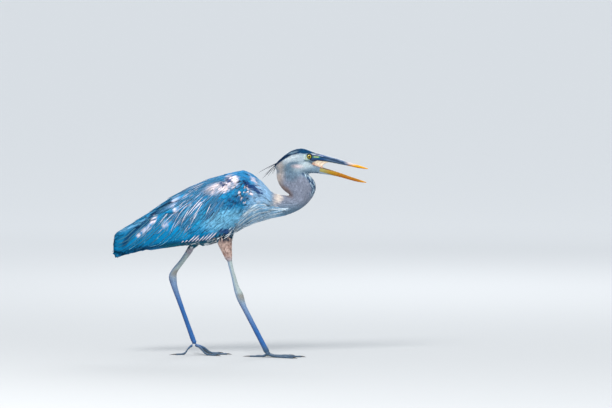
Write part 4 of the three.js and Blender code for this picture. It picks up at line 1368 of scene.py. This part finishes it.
# Root, bend and end, in millimetres: x, y, z.
CREST = [
    ((101, -5, 532), (72, -8, 519), (46, -10, 503)),
    ((101, 4, 531), (80, 7, 509), (59, 6, 486)),
    ((103, 0, 533), (84, 1, 514), (67, 2, 492)),
    ((100, -3, 528), (84, -6, 508), (75, -8, 494)),
    ((102, 6, 530), (92, 9, 511), (86, 10, 498)),
    ((104, -6, 534), (88, -10, 525), (74, -14, 514)),
    ((100, 2, 529), (94, 3, 512), (92, 3, 501)),
    ((102, 5, 533), (78, 10, 520), (55, 11, 508)),
    ((101, -4, 530), (81, -8, 512), (65, -9, 499)),
    ((103, 3, 532), (90, 6, 518), (78, 7, 508)),
]
CREST_ROWS = 12


def crest_plumes():
    count = len(CREST)
    routes = np.array([bezier(np.array(a, float), np.array(b, float), np.array(c, float), CREST_ROWS)
                       for a, b, c in CREST]) * MM
    heading = np.gradient(routes, axis=1)
    heading /= np.linalg.norm(heading, axis=2)[:, :, None]
    rise = np.zeros_like(heading)
    rise[:, :, 1] = 1.0
    side = np.cross(rise, heading)
    fractions = np.linspace(0, 1, CREST_ROWS)
    half = (np.linspace(0.8, 0.45, count)[:, None] * lance(fractions)[None])[:, 1:-1] * MM
    rows = slice(1, -1)
    ring = (
        routes[:, rows, None]
        + side[:, rows, None] * (half[:, :, None, None] * SLIM[:, 0][None, None, :, None])
        + rise[:, rows, None] * (0.35 * MM * SLIM[:, 1][None, None, :, None])
    )
    lengths = np.linalg.norm(np.diff(routes, axis=1), axis=2).sum(1)
    across, along, grain = vane_maps(CREST_ROWS - 2, SLIM, lengths)
    lit_shaft = (1 + 0.8 * (np.abs(across) < 0.1))[None, :, None]
    shades = np.tile(CREST_INK, (count, len(across), 1)) * lit_shaft
    corner = np.stack([np.arange(count) / 8, np.zeros(count)], 1)
    bake = corner[:, None] + (np.stack([(across + 1) / 2, along], 1) * 0.11)[None]
    piece = join_vanes("crest_plumes", routes[:, 0], ring, routes[:, -1], shades, bake, grain)
    piece.data.materials.append(CONTOUR_FINISH)
    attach(piece, "root")
    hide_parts("crest_plume_right", "crest_plume_left")


crest_plumes()

# ------------------------------------------------------------------ face
# Bare skin in front of the eye and round the gape: dark teal with a lime stripe, a plum line
# over the mouth's corner and pale folds, stretched smooth where the bill begins.
MOUTH_PEACH = paint(226, 196, 166)
LORE_TEAL = paint(4, 46, 78)
LORE_GREEN = paint(44, 140, 120)
LORE_LIME = paint(186, 200, 110)
LORE_HIGHLIGHT = paint(214, 214, 236)
LORE_BLUE = paint(4, 62, 112)
GAPE_PLUM = paint(58, 40, 74)
TOMIUM_BROWN = paint(84, 62, 60)
FACE_VOXEL = 0.7 * MM
FACE_REAR = 183 * MM
low_corner, high_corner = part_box("eye_right")
EYE_CENTRE = (Vector(low_corner) + Vector(high_corner)) / 2


def soft_lores(x, z):
    upper = np.interp(x, [186, 198, 212], [555, 556.5, 557])
    lower = np.interp(x, [186, 198, 212], [543, 538, 536.5])
    return ease_between(x, 189, 193) * ease_between(upper - z, -1, 1) * ease_between(z - lower, -1, 1)


def face_depth(spots):
    """How far the face's skin lies under the head's outline: less where it is bare."""
    x, y, z = spots[:, 0], np.abs(spots[:, 1]), spots[:, 2]
    bare = np.maximum(soft_lores(x, z), mouth_inside(spots * MM))
    crease = 0.5 * groove_line(x, z, (199, 552.6), (214, 551.2), 1.0) * ease_between(y, 4, 6)
    crease = crease + 0.6 * groove_line(x, z, (196, 540.5), (214, 538.6), 0.9)
    eye_pit = 1.6 * (1 - ease_between(np.hypot(x - EYE_CENTRE.x / MM, z - EYE_CENTRE.z / MM), 6, 10.5))
    return 1.2 * (1 - bare) + crease + eye_pit * ease_between(y, 4, 7)


def carve(piece, depth_at):
    """Points drawn in along their normals by a depth, in millimetres, worked out from place."""
    points = points_of(piece.data)
    depth = depth_at(points / MM) * MM
    move_points(piece.data, points - normals_of(piece.data) * depth[:, None])


def finish_piece(piece, colour, finish, nodes=()):
    unwrap(piece)
    store_colour(piece.data, np.clip(colour, 0.001, 0.95))
    piece.data.materials.clear()
    piece.data.materials.append(finish)
    piece.data.shade_smooth()
    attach(piece, "root")
    if nodes:
        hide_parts(*nodes)


def groove_line(x, z, start, end, half):
    """1 on a straight line of the side view, fading to 0 at a half width from it."""
    (x0, z0), (x1, z1) = start, end
    length = math.hypot(x1 - x0, z1 - z0)
    along = ((x - x0) * (x1 - x0) + (z - z0) * (z1 - z0)) / length
    across = np.abs((x - x0) * (z1 - z0) - (z - z0) * (x1 - x0)) / length
    ends = ease_between(along, -2, 2) * (1 - ease_between(along, length - 8, length + 2))
    return ends * (1 - ease_between(across, 0, half))


def face_marks(tone, x, z):
    """The lines that run from the face on to the bill's base."""
    # painted highlight: a thin pale line along the top edge of the face and the bill
    tone = mixed(tone, LORE_HIGHLIGHT, 0.45 * stroke(x, z, [(198, 556.2), (213, 554.6), (228, 551.2)], 0.8))
    tone = mixed(tone, LORE_BLUE, 0.9 * stroke(x, z, [(198, 544.6), (216, 543.6), (228, 543)], 2.2))
    tone = mixed(tone, LORE_GREEN, 0.65 * stroke(x, z, [(198, 549.6), (218, 548.8)], 2.2, 0.9))
    tone = mixed(tone, LORE_LIME, 0.85 * stroke(x, z, [(204, 549.7), (215, 549.0)], 1.1, 0.9))
    tone = mixed(tone, GAPE_PLUM, stroke(x, z, [(194, 537.0), (213, 538.2), (226, 539.2)], 1.6))
    return mixed(tone, TOMIUM_BROWN, stroke(x, z, [(197, 531.2), (205, 528.6), (222, 523.6)], 1.7))


def build_face():
    face = recast("face", ["head"], FACE_VOXEL, 0, 3)
    carve(face, face_depth)
    cut = bmesh.new()
    cut.from_mesh(face.data)
    bmesh.ops.bisect_plane(cut, geom=cut.verts[:] + cut.edges[:] + cut.faces[:], dist=0.01 * MM,
                           plane_co=(FACE_REAR, 0, 0), plane_no=(-1, 0, 0), clear_outer=True)
    rim = [edge for edge in cut.edges if edge.is_boundary]
    bmesh.ops.holes_fill(cut, edges=rim, sides=0)
    bmesh.ops.triangulate(cut, faces=[f for f in cut.faces if len(f.verts) > 4])
    cut.to_mesh(face.data)
    cut.free()
    points = points_of(face.data)
    x, z = points[:, 0] / MM, points[:, 2] / MM
    # painted shade: the face's skin is the coat's colour darkened, as the shade under the head's
    # feathers
    tone = coat_colour(points, np.full(len(points), 0.5)) * 0.8
    tone = mixed(tone, MOUTH_PEACH, mouth_inside(points))
    tone = face_marks(mixed(tone, LORE_TEAL, soft_lores(x, z)), x, z)
    finish_piece(face, tone, SKIN_FINISH)


build_face()

# ------------------------------------------------------------------ eyes
# Each eye is a wet globe with a yellow fibrous iris round a small black pupil, set deep in
# a ring of dark bare lid that is a little drawn out towards the bill.
EYE_RADIUS = 8.0 * MM
PUPIL = 2.9 * MM
IRIS = 5.5 * MM
RAMP_SPAN = 9.0 * MM  # the colour ramp runs from the eye's axis out to here
CORNEA_RISE = 0.55 * MM  # the cornea stands proud of the globe


def eye_finish():
    finish = bpy.data.materials.new("eye")
    finish.use_nodes = True
    nodes, links = finish.node_tree.nodes, finish.node_tree.links
    shader = nodes["Principled BSDF"]
    shader.inputs["Roughness"].default_value = 0.3
    shader.inputs["Specular IOR Level"].default_value = 0.2
    shader.inputs["Coat Weight"].default_value = 0.6
    shader.inputs["Coat Roughness"].default_value = 0.03
    place = nodes.new("ShaderNodeTexCoord")
    centre = nodes.new("ShaderNodeVectorMath")
    centre.operation = "SUBTRACT"
    centre.inputs[1].default_value = EYE_CENTRE
    links.new(place.outputs["Object"], centre.inputs[0])
    flat = nodes.new("ShaderNodeVectorMath")
    flat.operation = "MULTIPLY"
    flat.inputs[1].default_value = (1 / RAMP_SPAN, 0, 1 / RAMP_SPAN)
    links.new(centre.outputs["Vector"], flat.inputs[0])
    reach = nodes.new("ShaderNodeVectorMath")
    reach.operation = "LENGTH"
    links.new(flat.outputs["Vector"], reach.inputs[0])
    round_it = nodes.new("ShaderNodeVectorMath")
    round_it.operation = "NORMALIZE"
    links.new(flat.outputs["Vector"], round_it.inputs[0])
    fibres = nodes.new("ShaderNodeTexNoise")
    fibres.inputs["Scale"].default_value = 9
    fibres.inputs["Detail"].default_value = 4
    links.new(round_it.outputs["Vector"], fibres.inputs["Vector"])
    ramp = nodes.new("ShaderNodeValToRGB")
    stops = [
        (0.0, (2, 2, 2)),
        (PUPIL / RAMP_SPAN - 0.01, (2, 2, 2)),
        (PUPIL / RAMP_SPAN + 0.015, (120, 78, 8)),
        (0.38, (170, 146, 20)),
        (0.50, (184, 176, 40)),
        (IRIS / RAMP_SPAN - 0.03, (88, 90, 18)),
        (IRIS / RAMP_SPAN + 0.015, (6, 14, 20)),
        (1.0, (4, 10, 16)),
    ]
    while len(ramp.color_ramp.elements) < len(stops):
        ramp.color_ramp.elements.new(0.5)
    for element, (position, colour) in zip(ramp.color_ramp.elements, stops):
        element.position = position
        element.color = (*paint(*colour), 1)
    links.new(reach.outputs["Value"], ramp.inputs["Fac"])
    tone = shade_by(nodes, links, ramp.outputs["Color"], fibres.outputs["Fac"], 0.5, 1.5)
    links.new(tone, shader.inputs["Base Color"])
    return finish


def build_eyes():
    eyes = bmesh.new()
    for hand in (-1, 1):
        made = bmesh.ops.create_uvsphere(eyes, u_segments=48, v_segments=32, radius=EYE_RADIUS)["verts"]
        bmesh.ops.rotate(eyes, verts=made, matrix=Matrix.Rotation(math.pi / 2, 3, "X"))
        for vert in made:
            off_axis = math.hypot(vert.co.x, vert.co.z) / IRIS
            if vert.co.y * hand > 0 and off_axis < 1:
                vert.co.y += hand * CORNEA_RISE * (1 - off_axis**2)
        centre = Vector((EYE_CENTRE.x, -hand * EYE_CENTRE.y, EYE_CENTRE.z))
        bmesh.ops.translate(eyes, verts=made, vec=centre)
    piece = piece_from(eyes, "eyes", eye_finish())
    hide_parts("eye_right", "eye_left")


def piece_from(shape, name, finish):
    """A finished object from a bmesh, riding on the body."""
    data = bpy.data.meshes.new(name)
    shape.to_mesh(data)
    shape.free()
    data.shade_smooth()
    data.materials.append(finish)
    piece = bpy.data.objects.new(name, data)
    bpy.context.scene.collection.objects.link(piece)
    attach(piece, "root")
    return piece


build_eyes()

# The lid: distance from the eye's axis and height above the eye's centre, in millimetres.
LID_PROFILE = [
    (5.7, 5.7), (5.9, 6.3), (6.5, 6.5), (7.3, 5.9), (8.2, 4.9), (9.4, 3.2), (9.4, 1.6),
    (8.0, 2.4), (6.6, 4.2),
]
LID_TURNS = 56
LID_INK = paint(8, 16, 26)
LID_WHITE = paint(220, 238, 214)


def build_lids():
    lids = bmesh.new()
    for hand in (-1, 1):
        ring = [lids.verts.new((r * MM, hand * y * MM, 0)) for r, y in LID_PROFILE]
        edges = [lids.edges.new((ring[i], ring[(i + 1) % len(ring)])) for i in range(len(ring))]
        bmesh.ops.spin(lids, geom=ring + edges, cent=(0, 0, 0), axis=(0, 1, 0), dvec=(0, 0, 0),
                       angle=2 * math.pi, steps=LID_TURNS, use_merge=True, use_duplicate=False)
        made = [v for v in lids.verts if v.co.y * hand > 0 and v.co.length < 20 * MM]
        for vert in made:
            reach = math.hypot(vert.co.x, vert.co.z) / MM
            angle = math.atan2(vert.co.z, vert.co.x)
            outward = min(max((reach - 6.2) / 4, 0), 1)
            vert.co.x *= 1 + 0.14 * outward * max(math.cos(angle), 0) ** 2
            vert.co.z *= 1 - 0.06 * outward
            vert.co.y += hand * 0.25 * MM * math.sin(angle * 9) * outward * (1 - outward)
        centre = Vector((EYE_CENTRE.x, -hand * EYE_CENTRE.y, EYE_CENTRE.z))
        bmesh.ops.translate(lids, verts=made, vec=centre)
    bmesh.ops.recalc_face_normals(lids, faces=lids.faces)
    finish, nodes, links, shader, pigment, place = painted_finish("eyelid", 0.5)
    grain = noise_of(nodes, links, place, 900, 3)
    tone = shade_by(nodes, links, pigment.outputs["Color"], grain, 0.7, 1.25)
    links.new(tone, shader.inputs["Base Color"])
    links.new(raise_by(nodes, links, grain, 0.4, 0.3 * MM), shader.inputs["Normal"])
    piece = piece_from(lids, "eyelids", finish)
    spots = points_of(piece.data)
    x, z = (spots[:, 0] - EYE_CENTRE.x) / MM, (spots[:, 2] - EYE_CENTRE.z) / MM
    reach = np.hypot(x, z)
    ink = np.tile(LID_INK, (len(spots), 1))
    outer = mixed(np.tile(LID_WHITE, (len(spots), 1)), LORE_TEAL, ease_between(x, 2, 5))
    outer = mixed(outer, CROWN_BLUE, ease_between(z, 5, 8))
    store_colour(piece.data, mixed(ink, outer, ease_between(reach, 8.1, 8.8)))


build_lids()

# ------------------------------------------------------------------ bill
# Two long horny sheaths: the upper slate blue with a nostril slit in a groove and a yellow
# tip, the lower olive at the chin and orange beyond. Their edges meet along sharp lines.
BILL_VOXEL = 0.55 * MM
SLATE_HORN = paint(72, 96, 126)
BASE_BLUE = paint(14, 72, 120)
HORN_HIGHLIGHT = paint(150, 166, 190)
DARK_HORN = paint(22, 50, 80)
GREEN_HORN = paint(58, 84, 84)
PINK_HORN = paint(206, 186, 178)
TIP_YELLOW = paint(228, 160, 10)
OLIVE_HORN = paint(146, 138, 78)
OCHRE_HORN = paint(162, 122, 12)
ORANGE_HORN = paint(162, 92, 0)
CHIN_GREY = paint(150, 168, 184)


def profile_of(spots, edge):
    """Height of each point between a bill's lowest and highest reach, 0 to 1, and how far out
    its cutting edge is there. edge is 0 for a bill whose edge is its lowest part, 1 for its highest.
    """
    x = spots[:, 0]
    steps = np.arange(x.min() + 1, x.max() - 0.5, 2.0)
    low, high, rim = [], [], []
    for step in steps:
        part = spots[np.abs(x - step) < 1.2]
        low.append(part[:, 2].min())
        high.append(part[:, 2].max())
        close = np.abs(part[:, 2] - (high[-1] if edge else low[-1])) < 0.9
        rim.append(np.abs(part[close, 1]).max())
    low, high = np.interp(x, steps, low), np.interp(x, steps, high)
    return (spots[:, 2] - low) / np.maximum(high - low, 1), np.interp(x, steps, rim)


def tuck_base(piece, rear, reach):
    """Draw the rear end of a sheath back under the face's skin."""
    points = points_of(piece.data)
    back = 1 - ease_between(points[:, 0] / MM, rear, rear + reach)
    points[:, 0] -= 4.5 * MM * back
    points[:, 1] *= 1 - 0.07 * back
    move_points(piece.data, points)


def horn_finish(name, roughness):
    finish, nodes, links, shader, pigment, place = painted_finish(name, roughness)
    shader.inputs["Specular IOR Level"].default_value = 0.22
    shader.inputs["Coat Weight"].default_value = 0.06
    shader.inputs["Coat Roughness"].default_value = 0.3
    stretch = nodes.new("ShaderNodeMapping")
    stretch.inputs["Rotation"].default_value = (0, math.radians(-14), 0)
    stretch.inputs["Scale"].default_value = (60, 700, 700)
    links.new(place.outputs["Object"], stretch.inputs["Vector"])
    fibres = nodes.new("ShaderNodeTexNoise")
    fibres.inputs["Scale"].default_value = 1
    fibres.inputs["Detail"].default_value = 4
    links.new(stretch.outputs["Vector"], fibres.inputs["Vector"])
    flecks = noise_of(nodes, links, place, 150, 3)
    tone = shade_by(nodes, links, pigment.outputs["Color"], fibres.outputs["Fac"], 0.72, 1.28)
    links.new(shade_by(nodes, links, tone, flecks, 0.8, 1.2), shader.inputs["Base Color"])
    links.new(raise_by(nodes, links, fibres.outputs["Fac"], 0.3, 0.3 * MM), shader.inputs["Normal"])
    return finish


HORN_FINISH = horn_finish("bill_horn", 0.46)


def upper_grooves(spots):
    x, y, z = spots[:, 0], np.abs(spots[:, 1]), spots[:, 2]
    side = ease_between(y, 0.8, 2.2)
    long_groove = 0.5 * groove_line(x, z, (214, 550), (292, 531), 1.5)
    nostril = 1.1 * groove_line(x, z, (221, 549.6), (236, 546.4), 0.9)
    return side * (long_groove + nostril)


bill_upper = recast("bill_upper_horn", ["bill_upper"], BILL_VOXEL, 0, 2)
carve(bill_upper, upper_grooves)
tuck_base(bill_upper, 209.5, 7)
spots = points_of(bill_upper.data) / MM
x, y, z = spots[:, 0], np.abs(spots[:, 1]), spots[:, 2]
up, rim = profile_of(spots, 0)
horn = mixed(np.tile(LORE_TEAL, (len(x), 1)), BASE_BLUE, ease_between(x, 212, 224))
horn = mixed(horn, SLATE_HORN, ease_between(x, 226, 246))
# painted highlight: the bill is paler along its top and in a patch before the tip, broken up by noise
highlight_blotch = np.clip(0.5 + 1.2 * ripple(spots, 8, 0.4), 0, 1)
horn = mixed(horn, HORN_HIGHLIGHT, ease_between(up, 0.7, 1.0) * ease_between(x, 220, 260) * 0.5 * highlight_blotch)
horn = mixed(horn, HORN_HIGHLIGHT, 0.7 * patch(x, z, (276, 536), (14, 2.2), -16) * highlight_blotch)
green = 0.8 * (1 - ease_between(up, 0.06, 0.3)) * (1 - ease_between(x, 262, 300))
horn = mixed(horn, GREEN_HORN, green)
# painted shade: a dark stroke along the groove and the nostril slit
horn = mixed(horn, DARK_HORN, 0.95 * stroke(x, z, [(216, 550), (240, 546), (286, 532)], 2.0))
horn = mixed(horn, DARK_HORN, 0.7 * patch(x, z, (262, 541), (12, 2.4), -14))
horn = mixed(horn, PINK_HORN, 0.9 * ease_between(x, 284, 304) * ease_between(up, 0.2, 0.7))
horn = mixed(horn, TIP_YELLOW, ease_between(x + 24 * (0.5 - up), 298, 318))
horn = mixed(horn, ORANGE_HORN, 0.8 * ease_between(x, 292, 308) * (1 - ease_between(up, 0.2, 0.5)))
horn = face_marks(horn, x, z)
palate = mixed(np.tile(MOUTH_PEACH, (len(x), 1)), TIP_YELLOW, ease_between(x, 250, 300))
hollow = ease_between(-normals_of(bill_upper.data)[:, 2], 0.1, 0.5)
hollow = hollow * ease_between(rim - y, 0.4, 1.4) * (up < 0.5)
finish_piece(bill_upper, mixed(horn, palate, hollow), HORN_FINISH, ["bill_upper"])


def lower_grooves(spots):
    x, y, z = spots[:, 0], np.abs(spots[:, 1]), spots[:, 2]
    return 0.45 * ease_between(y, 0.8, 2.0) * groove_line(x, z, (223, 513.5), (296, 492.5), 1.1)


bill_lower = recast("bill_lower_horn", ["bill_lower"], BILL_VOXEL, 0, 2)
carve(bill_lower, lower_grooves)
tuck_base(bill_lower, 221.5, 5)
spots = points_of(bill_lower.data) / MM
x, y, z = spots[:, 0], np.abs(spots[:, 1]), spots[:, 2]
up, rim = profile_of(spots, 1)
horn = mixed(np.tile(OLIVE_HORN, (len(x), 1)), OCHRE_HORN, ease_between(x, 228, 252))
orange = ease_between(x, 246, 280) * (0.55 + 0.45 * (1 - ease_between(up, 0.3, 0.8)))
horn = mixed(horn, ORANGE_HORN, orange)
horn = mixed(horn, TIP_YELLOW, ease_between(x, 318, 350) * 0.7)
horn = mixed(horn, TOMIUM_BROWN, ease_between(up, 0.74, 0.92) * (1 - ease_between(x, 240, 272)) * 0.85)
chin = np.interp(x, [218, 240, 262], [0.34, 0.2, 0.0])
horn = mixed(horn, CHIN_GREY, 1 - ease_between(up, chin - 0.06, chin + 0.06))
inside = ease_between(normals_of(bill_lower.data)[:, 2], 0.1, 0.5) * ease_between(rim - y, 0.9, 2.2)
inside = inside * (up > 0.3) * (1 - ease_between(x, 262, 300))
finish_piece(
    bill_lower, mixed(horn, MOUTH_PEACH, inside), HORN_FINISH, ["bill_lower"]
)

# ------------------------------------------------------------------ mouth
# The open mouth's soft lining: a wet peach skin that closes each corner between the bill's
# edges, with a shallow fold, and the pointed tongue on the floor of the lower bill.
GAPE = (195, 531.5)
UPPER_EDGE = [(213, 538), (262, 531)]
LOWER_EDGE = [(222, 522), (262, 511)]
LINING_STEPS = 26
LINING_FOLD = 0.8  # depth of the lining's small folds, in millimetres
LINING_TUCK = 1.8  # how far its middle is drawn in, in millimetres
LINING_WALL = 0.6 * MM
LINING_WAVES = 24
MOUTH_CREAM = paint(224, 208, 184)
MOUTH_ROSE = paint(180, 140, 124)
TONGUE_REST = 1.0  # the tongue lies this much lower than its solid


def wet_finish():
    finish, nodes, links, shader, pigment, place = painted_finish("mouth_skin", 0.32)
    shader.inputs["Subsurface Weight"].default_value = 0.15
    shader.inputs["Subsurface Radius"].default_value = (0.003, 0.0015, 0.001)
    folds = noise_of(nodes, links, place, 240, 3)
    tone = shade_by(nodes, links, pigment.outputs["Color"], folds, 0.82, 1.16)
    links.new(tone, shader.inputs["Base Color"])
    links.new(raise_by(nodes, links, folds, 0.3, 0.5 * MM), shader.inputs["Normal"])
    return finish


def edge_height(x, edge):
    """Height of one of the bill's edges at x, from the gape forward, in millimetres."""
    return np.interp(x, [GAPE[0], *(p[0] for p in edge)], [GAPE[1], *(p[1] for p in edge)])


def build_lining():
    lining = bmesh.new()
    for hand in (-1, 1):
        made = bmesh.ops.create_grid(
            lining, x_segments=LINING_STEPS, y_segments=LINING_STEPS, size=0.5
        )["verts"]
        for vert in made:
            along, rise = vert.co.x + 0.5, vert.co.y + 0.5
            reach = 229 + 16 * rise - 8 * math.sin(math.pi * rise) ** 0.8
            x = GAPE[0] + (reach - GAPE[0]) * along
            top, low = edge_height(x, UPPER_EDGE), edge_height(x, LOWER_EDGE)
            width = np.interp(x, [198, 213, 250], [7.6, 7.2, 5.0])
            fold = LINING_FOLD * math.sin(along * LINING_WAVES + 2 * rise)
            tuck = (LINING_TUCK + fold) * math.sin(math.pi * rise)
            height = low - 1.5 + (top - low + 3.0) * rise
            vert.co = Vector((x, hand * (width - tuck), height)) * MM
    bmesh.ops.recalc_face_normals(lining, faces=lining.faces)
    piece = piece_from(lining, "mouth_lining", wet_finish())
    wall = piece.modifiers.new("wall", "SOLIDIFY")
    wall.thickness = LINING_WALL
    wall.offset = 0
    spots = points_of(piece.data) / MM
    # painted shade: the lining is rosier towards the mouth's corner and along its lower edge, over a
    # random mottle
    corner = 1 - ease_between(spots[:, 0], GAPE[0], GAPE[0] + 16)
    floor_line = edge_height(spots[:, 0], LOWER_EDGE)
    low = 1 - ease_between(spots[:, 2] - floor_line, 0, 7)
    rosy = np.clip(0.08 + 0.28 * ripple(spots, 4, 3.0) + 0.4 * corner + 0.75 * low, 0, 1)
    store_colour(piece.data, mixed(np.tile(MOUTH_CREAM, (len(spots), 1)), MOUTH_ROSE, rosy))
    return piece


lining = build_lining()
tongue = recast("tongue_skin", ["tongue"], 0.6 * MM, 0, 3)
tongue_spots = points_of(tongue.data) / MM
tongue_spots[:, 2] -= TONGUE_REST
move_points(tongue.data, tongue_spots * MM)
tongue_tone = np.tile(MOUTH_ROSE, (len(tongue_spots), 1))
tongue_tone = mixed(tongue_tone, MOUTH_CREAM, ease_between(tongue_spots[:, 0], 235, 290))
finish_piece(tongue, tongue_tone, lining.data.materials[0], ["tongue"])

# ------------------------------------------------------------------ legs
# Each leg below the thigh is one scaly skin over shank, heel, tarsus and four toes: broad
# plates are cut down the front and along the toes, and small uneven scales are in the finish.
TOES = ["toe_middle_", "toe_inner_", "toe_outer_", "toe_hind_"]
LEG_VOXEL = 0.85 * MM
HEEL_HEIGHT = {"right": 165, "left": 226}
SHANK_GREY = paint(168, 184, 184)
SHANK_BLUE = paint(70, 112, 164)
HEEL_BROWN = paint(120, 104, 92)
TARSUS_GREY = paint(124, 152, 188)
TARSUS_BLUE = paint(16, 96, 168)
TARSUS_NAVY = paint(8, 44, 104)
TOE_SLATE = paint(44, 78, 108)
TOE_PAD = paint(120, 124, 112)
PLATE_PITCH = 4.4  # between the broad plates, in millimetres
PAD_PITCH = 17  # between the pads under a toe


def plate_grooves(along, pitch, width):
    """1 in the grooves between plates."""
    off = np.abs((along / pitch) % 1 - 0.5) * 2
    return ease_between(off, 1 - width / pitch * 2, 1)


def leg_finish():
    finish, nodes, links, shader, pigment, place = painted_finish("leg_scales", 0.5)
    shader.inputs["Coat Weight"].default_value = 0.1
    shader.inputs["Coat Roughness"].default_value = 0.4
    cells = nodes.new("ShaderNodeTexVoronoi")
    cells.feature = "DISTANCE_TO_EDGE"
    cells.inputs["Scale"].default_value = 430
    links.new(place.outputs["Object"], cells.inputs["Vector"])
    rim = nodes.new("ShaderNodeMapRange")
    rim.inputs["From Max"].default_value = 0.18
    links.new(cells.outputs["Distance"], rim.inputs["Value"])
    scuffs = noise_of(nodes, links, place, 120, 4)
    tone = shade_by(nodes, links, pigment.outputs["Color"], rim.outputs["Result"], 0.62, 1.08)
    links.new(shade_by(nodes, links, tone, scuffs, 0.72, 1.28), shader.inputs["Base Color"])
    links.new(raise_by(nodes, links, rim.outputs["Result"], 0.5, 0.35 * MM), shader.inputs["Normal"])
    return finish


LEG_FINISH = leg_finish()


def build_leg(name):
    solids = ["shank_" + name, "tarsus_" + name] + [toe + name for toe in TOES]
    leg = recast("leg_" + name, solids, LEG_VOXEL, SEAM_FILL, 3)
    points = points_of(leg.data)
    normals = normals_of(leg.data)
    spots = points / MM
    tarsus = points_of(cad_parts["tarsus_" + name].data) / MM
    top, bottom = tarsus[tarsus[:, 2].argmax()], tarsus[tarsus[:, 2].argmin()]
    down = (bottom - top) / np.linalg.norm(bottom - top)
    heel = HEEL_HEIGHT[name]
    toe_height = 26
    upright = ease_between(spots[:, 2], toe_height - 6, toe_height + 6)
    joint = bottom
    along_leg = spots @ down
    along_toe = np.linalg.norm(spots[:, :2] - joint[None, :2], axis=1)
    front = ease_between(normals[:, 0], 0.0, 0.5) * upright
    above = ease_between(normals[:, 2], 0.1, 0.5) * (1 - upright)
    grooves = plate_grooves(along_leg, PLATE_PITCH, 0.9) * front
    grooves = grooves + plate_grooves(along_toe, PLATE_PITCH * 0.8, 0.9) * above
    pads = plate_grooves(along_toe, PAD_PITCH, 3.0) * (normals[:, 2] < -0.2)
    pads = pads * (1 - upright) * (spots[:, 2] > 1.0)
    points = points - normals * ((0.32 * grooves + 0.5 * pads) * MM + SEAM_FILL * upright)[:, None]
    points[:, 2] = np.maximum(points[:, 2], 0)
    move_points(leg.data, points)
    rear = ease_between(-normals[:, 0], -0.1, 0.7)
    tone = mixed(np.tile(SHANK_GREY, (len(spots), 1)), SHANK_BLUE, rear * 0.75)
    at_heel = 0.6 * (1 - ease_between(np.abs(spots[:, 2] - heel), 4, 16))
    tone = mixed(tone, HEEL_BROWN, at_heel * (1 - rear))
    low = ease_between(heel - spots[:, 2], -4, 26)
    tarsal = np.tile(TARSUS_GREY, (len(spots), 1))
    tarsal = mixed(tarsal, TARSUS_BLUE, ease_between(heel - spots[:, 2], 10, 100))
    tarsal = mixed(tarsal, TARSUS_NAVY, rear * 0.8)
    tone = mixed(tone, tarsal, low)
    tone = mixed(tone, TOE_SLATE, 1 - ease_between(spots[:, 2], 14, 40))
    tone = mixed(tone, TOE_PAD, ease_between(-normals[:, 2], 0.3, 0.8) * (spots[:, 2] < 14))
    tone = tone * (1 - 0.35 * grooves)[:, None]
    finish_piece(leg, tone, LEG_FINISH, solids)


for name in ("right", "left"):
    build_leg(name)

# ------------------------------------------------------------------ claws
# Dark curved horn at each toe's end, worn paler in random patches.
CLAW_INK = paint(34, 36, 44)
CLAW_TIP = paint(120, 112, 104)
claw_solids = [
    "claw_" + toe + "_" + name
    for name in ("right", "left") for toe in ("middle", "inner", "outer", "hind")
]
claws = recast("claws", claw_solids, 0.45 * MM, 0, 2)
claw_spots = points_of(claws.data) / MM
claw_wear = (ripple(claw_spots, 6, 1.0) * 0.5 + 0.5) * 0.4
claw_tone = mixed(np.tile(CLAW_INK, (len(claw_spots), 1)), CLAW_TIP, claw_wear)
finish_piece(claws, claw_tone, horn_finish("claw_horn", 0.42), claw_solids)
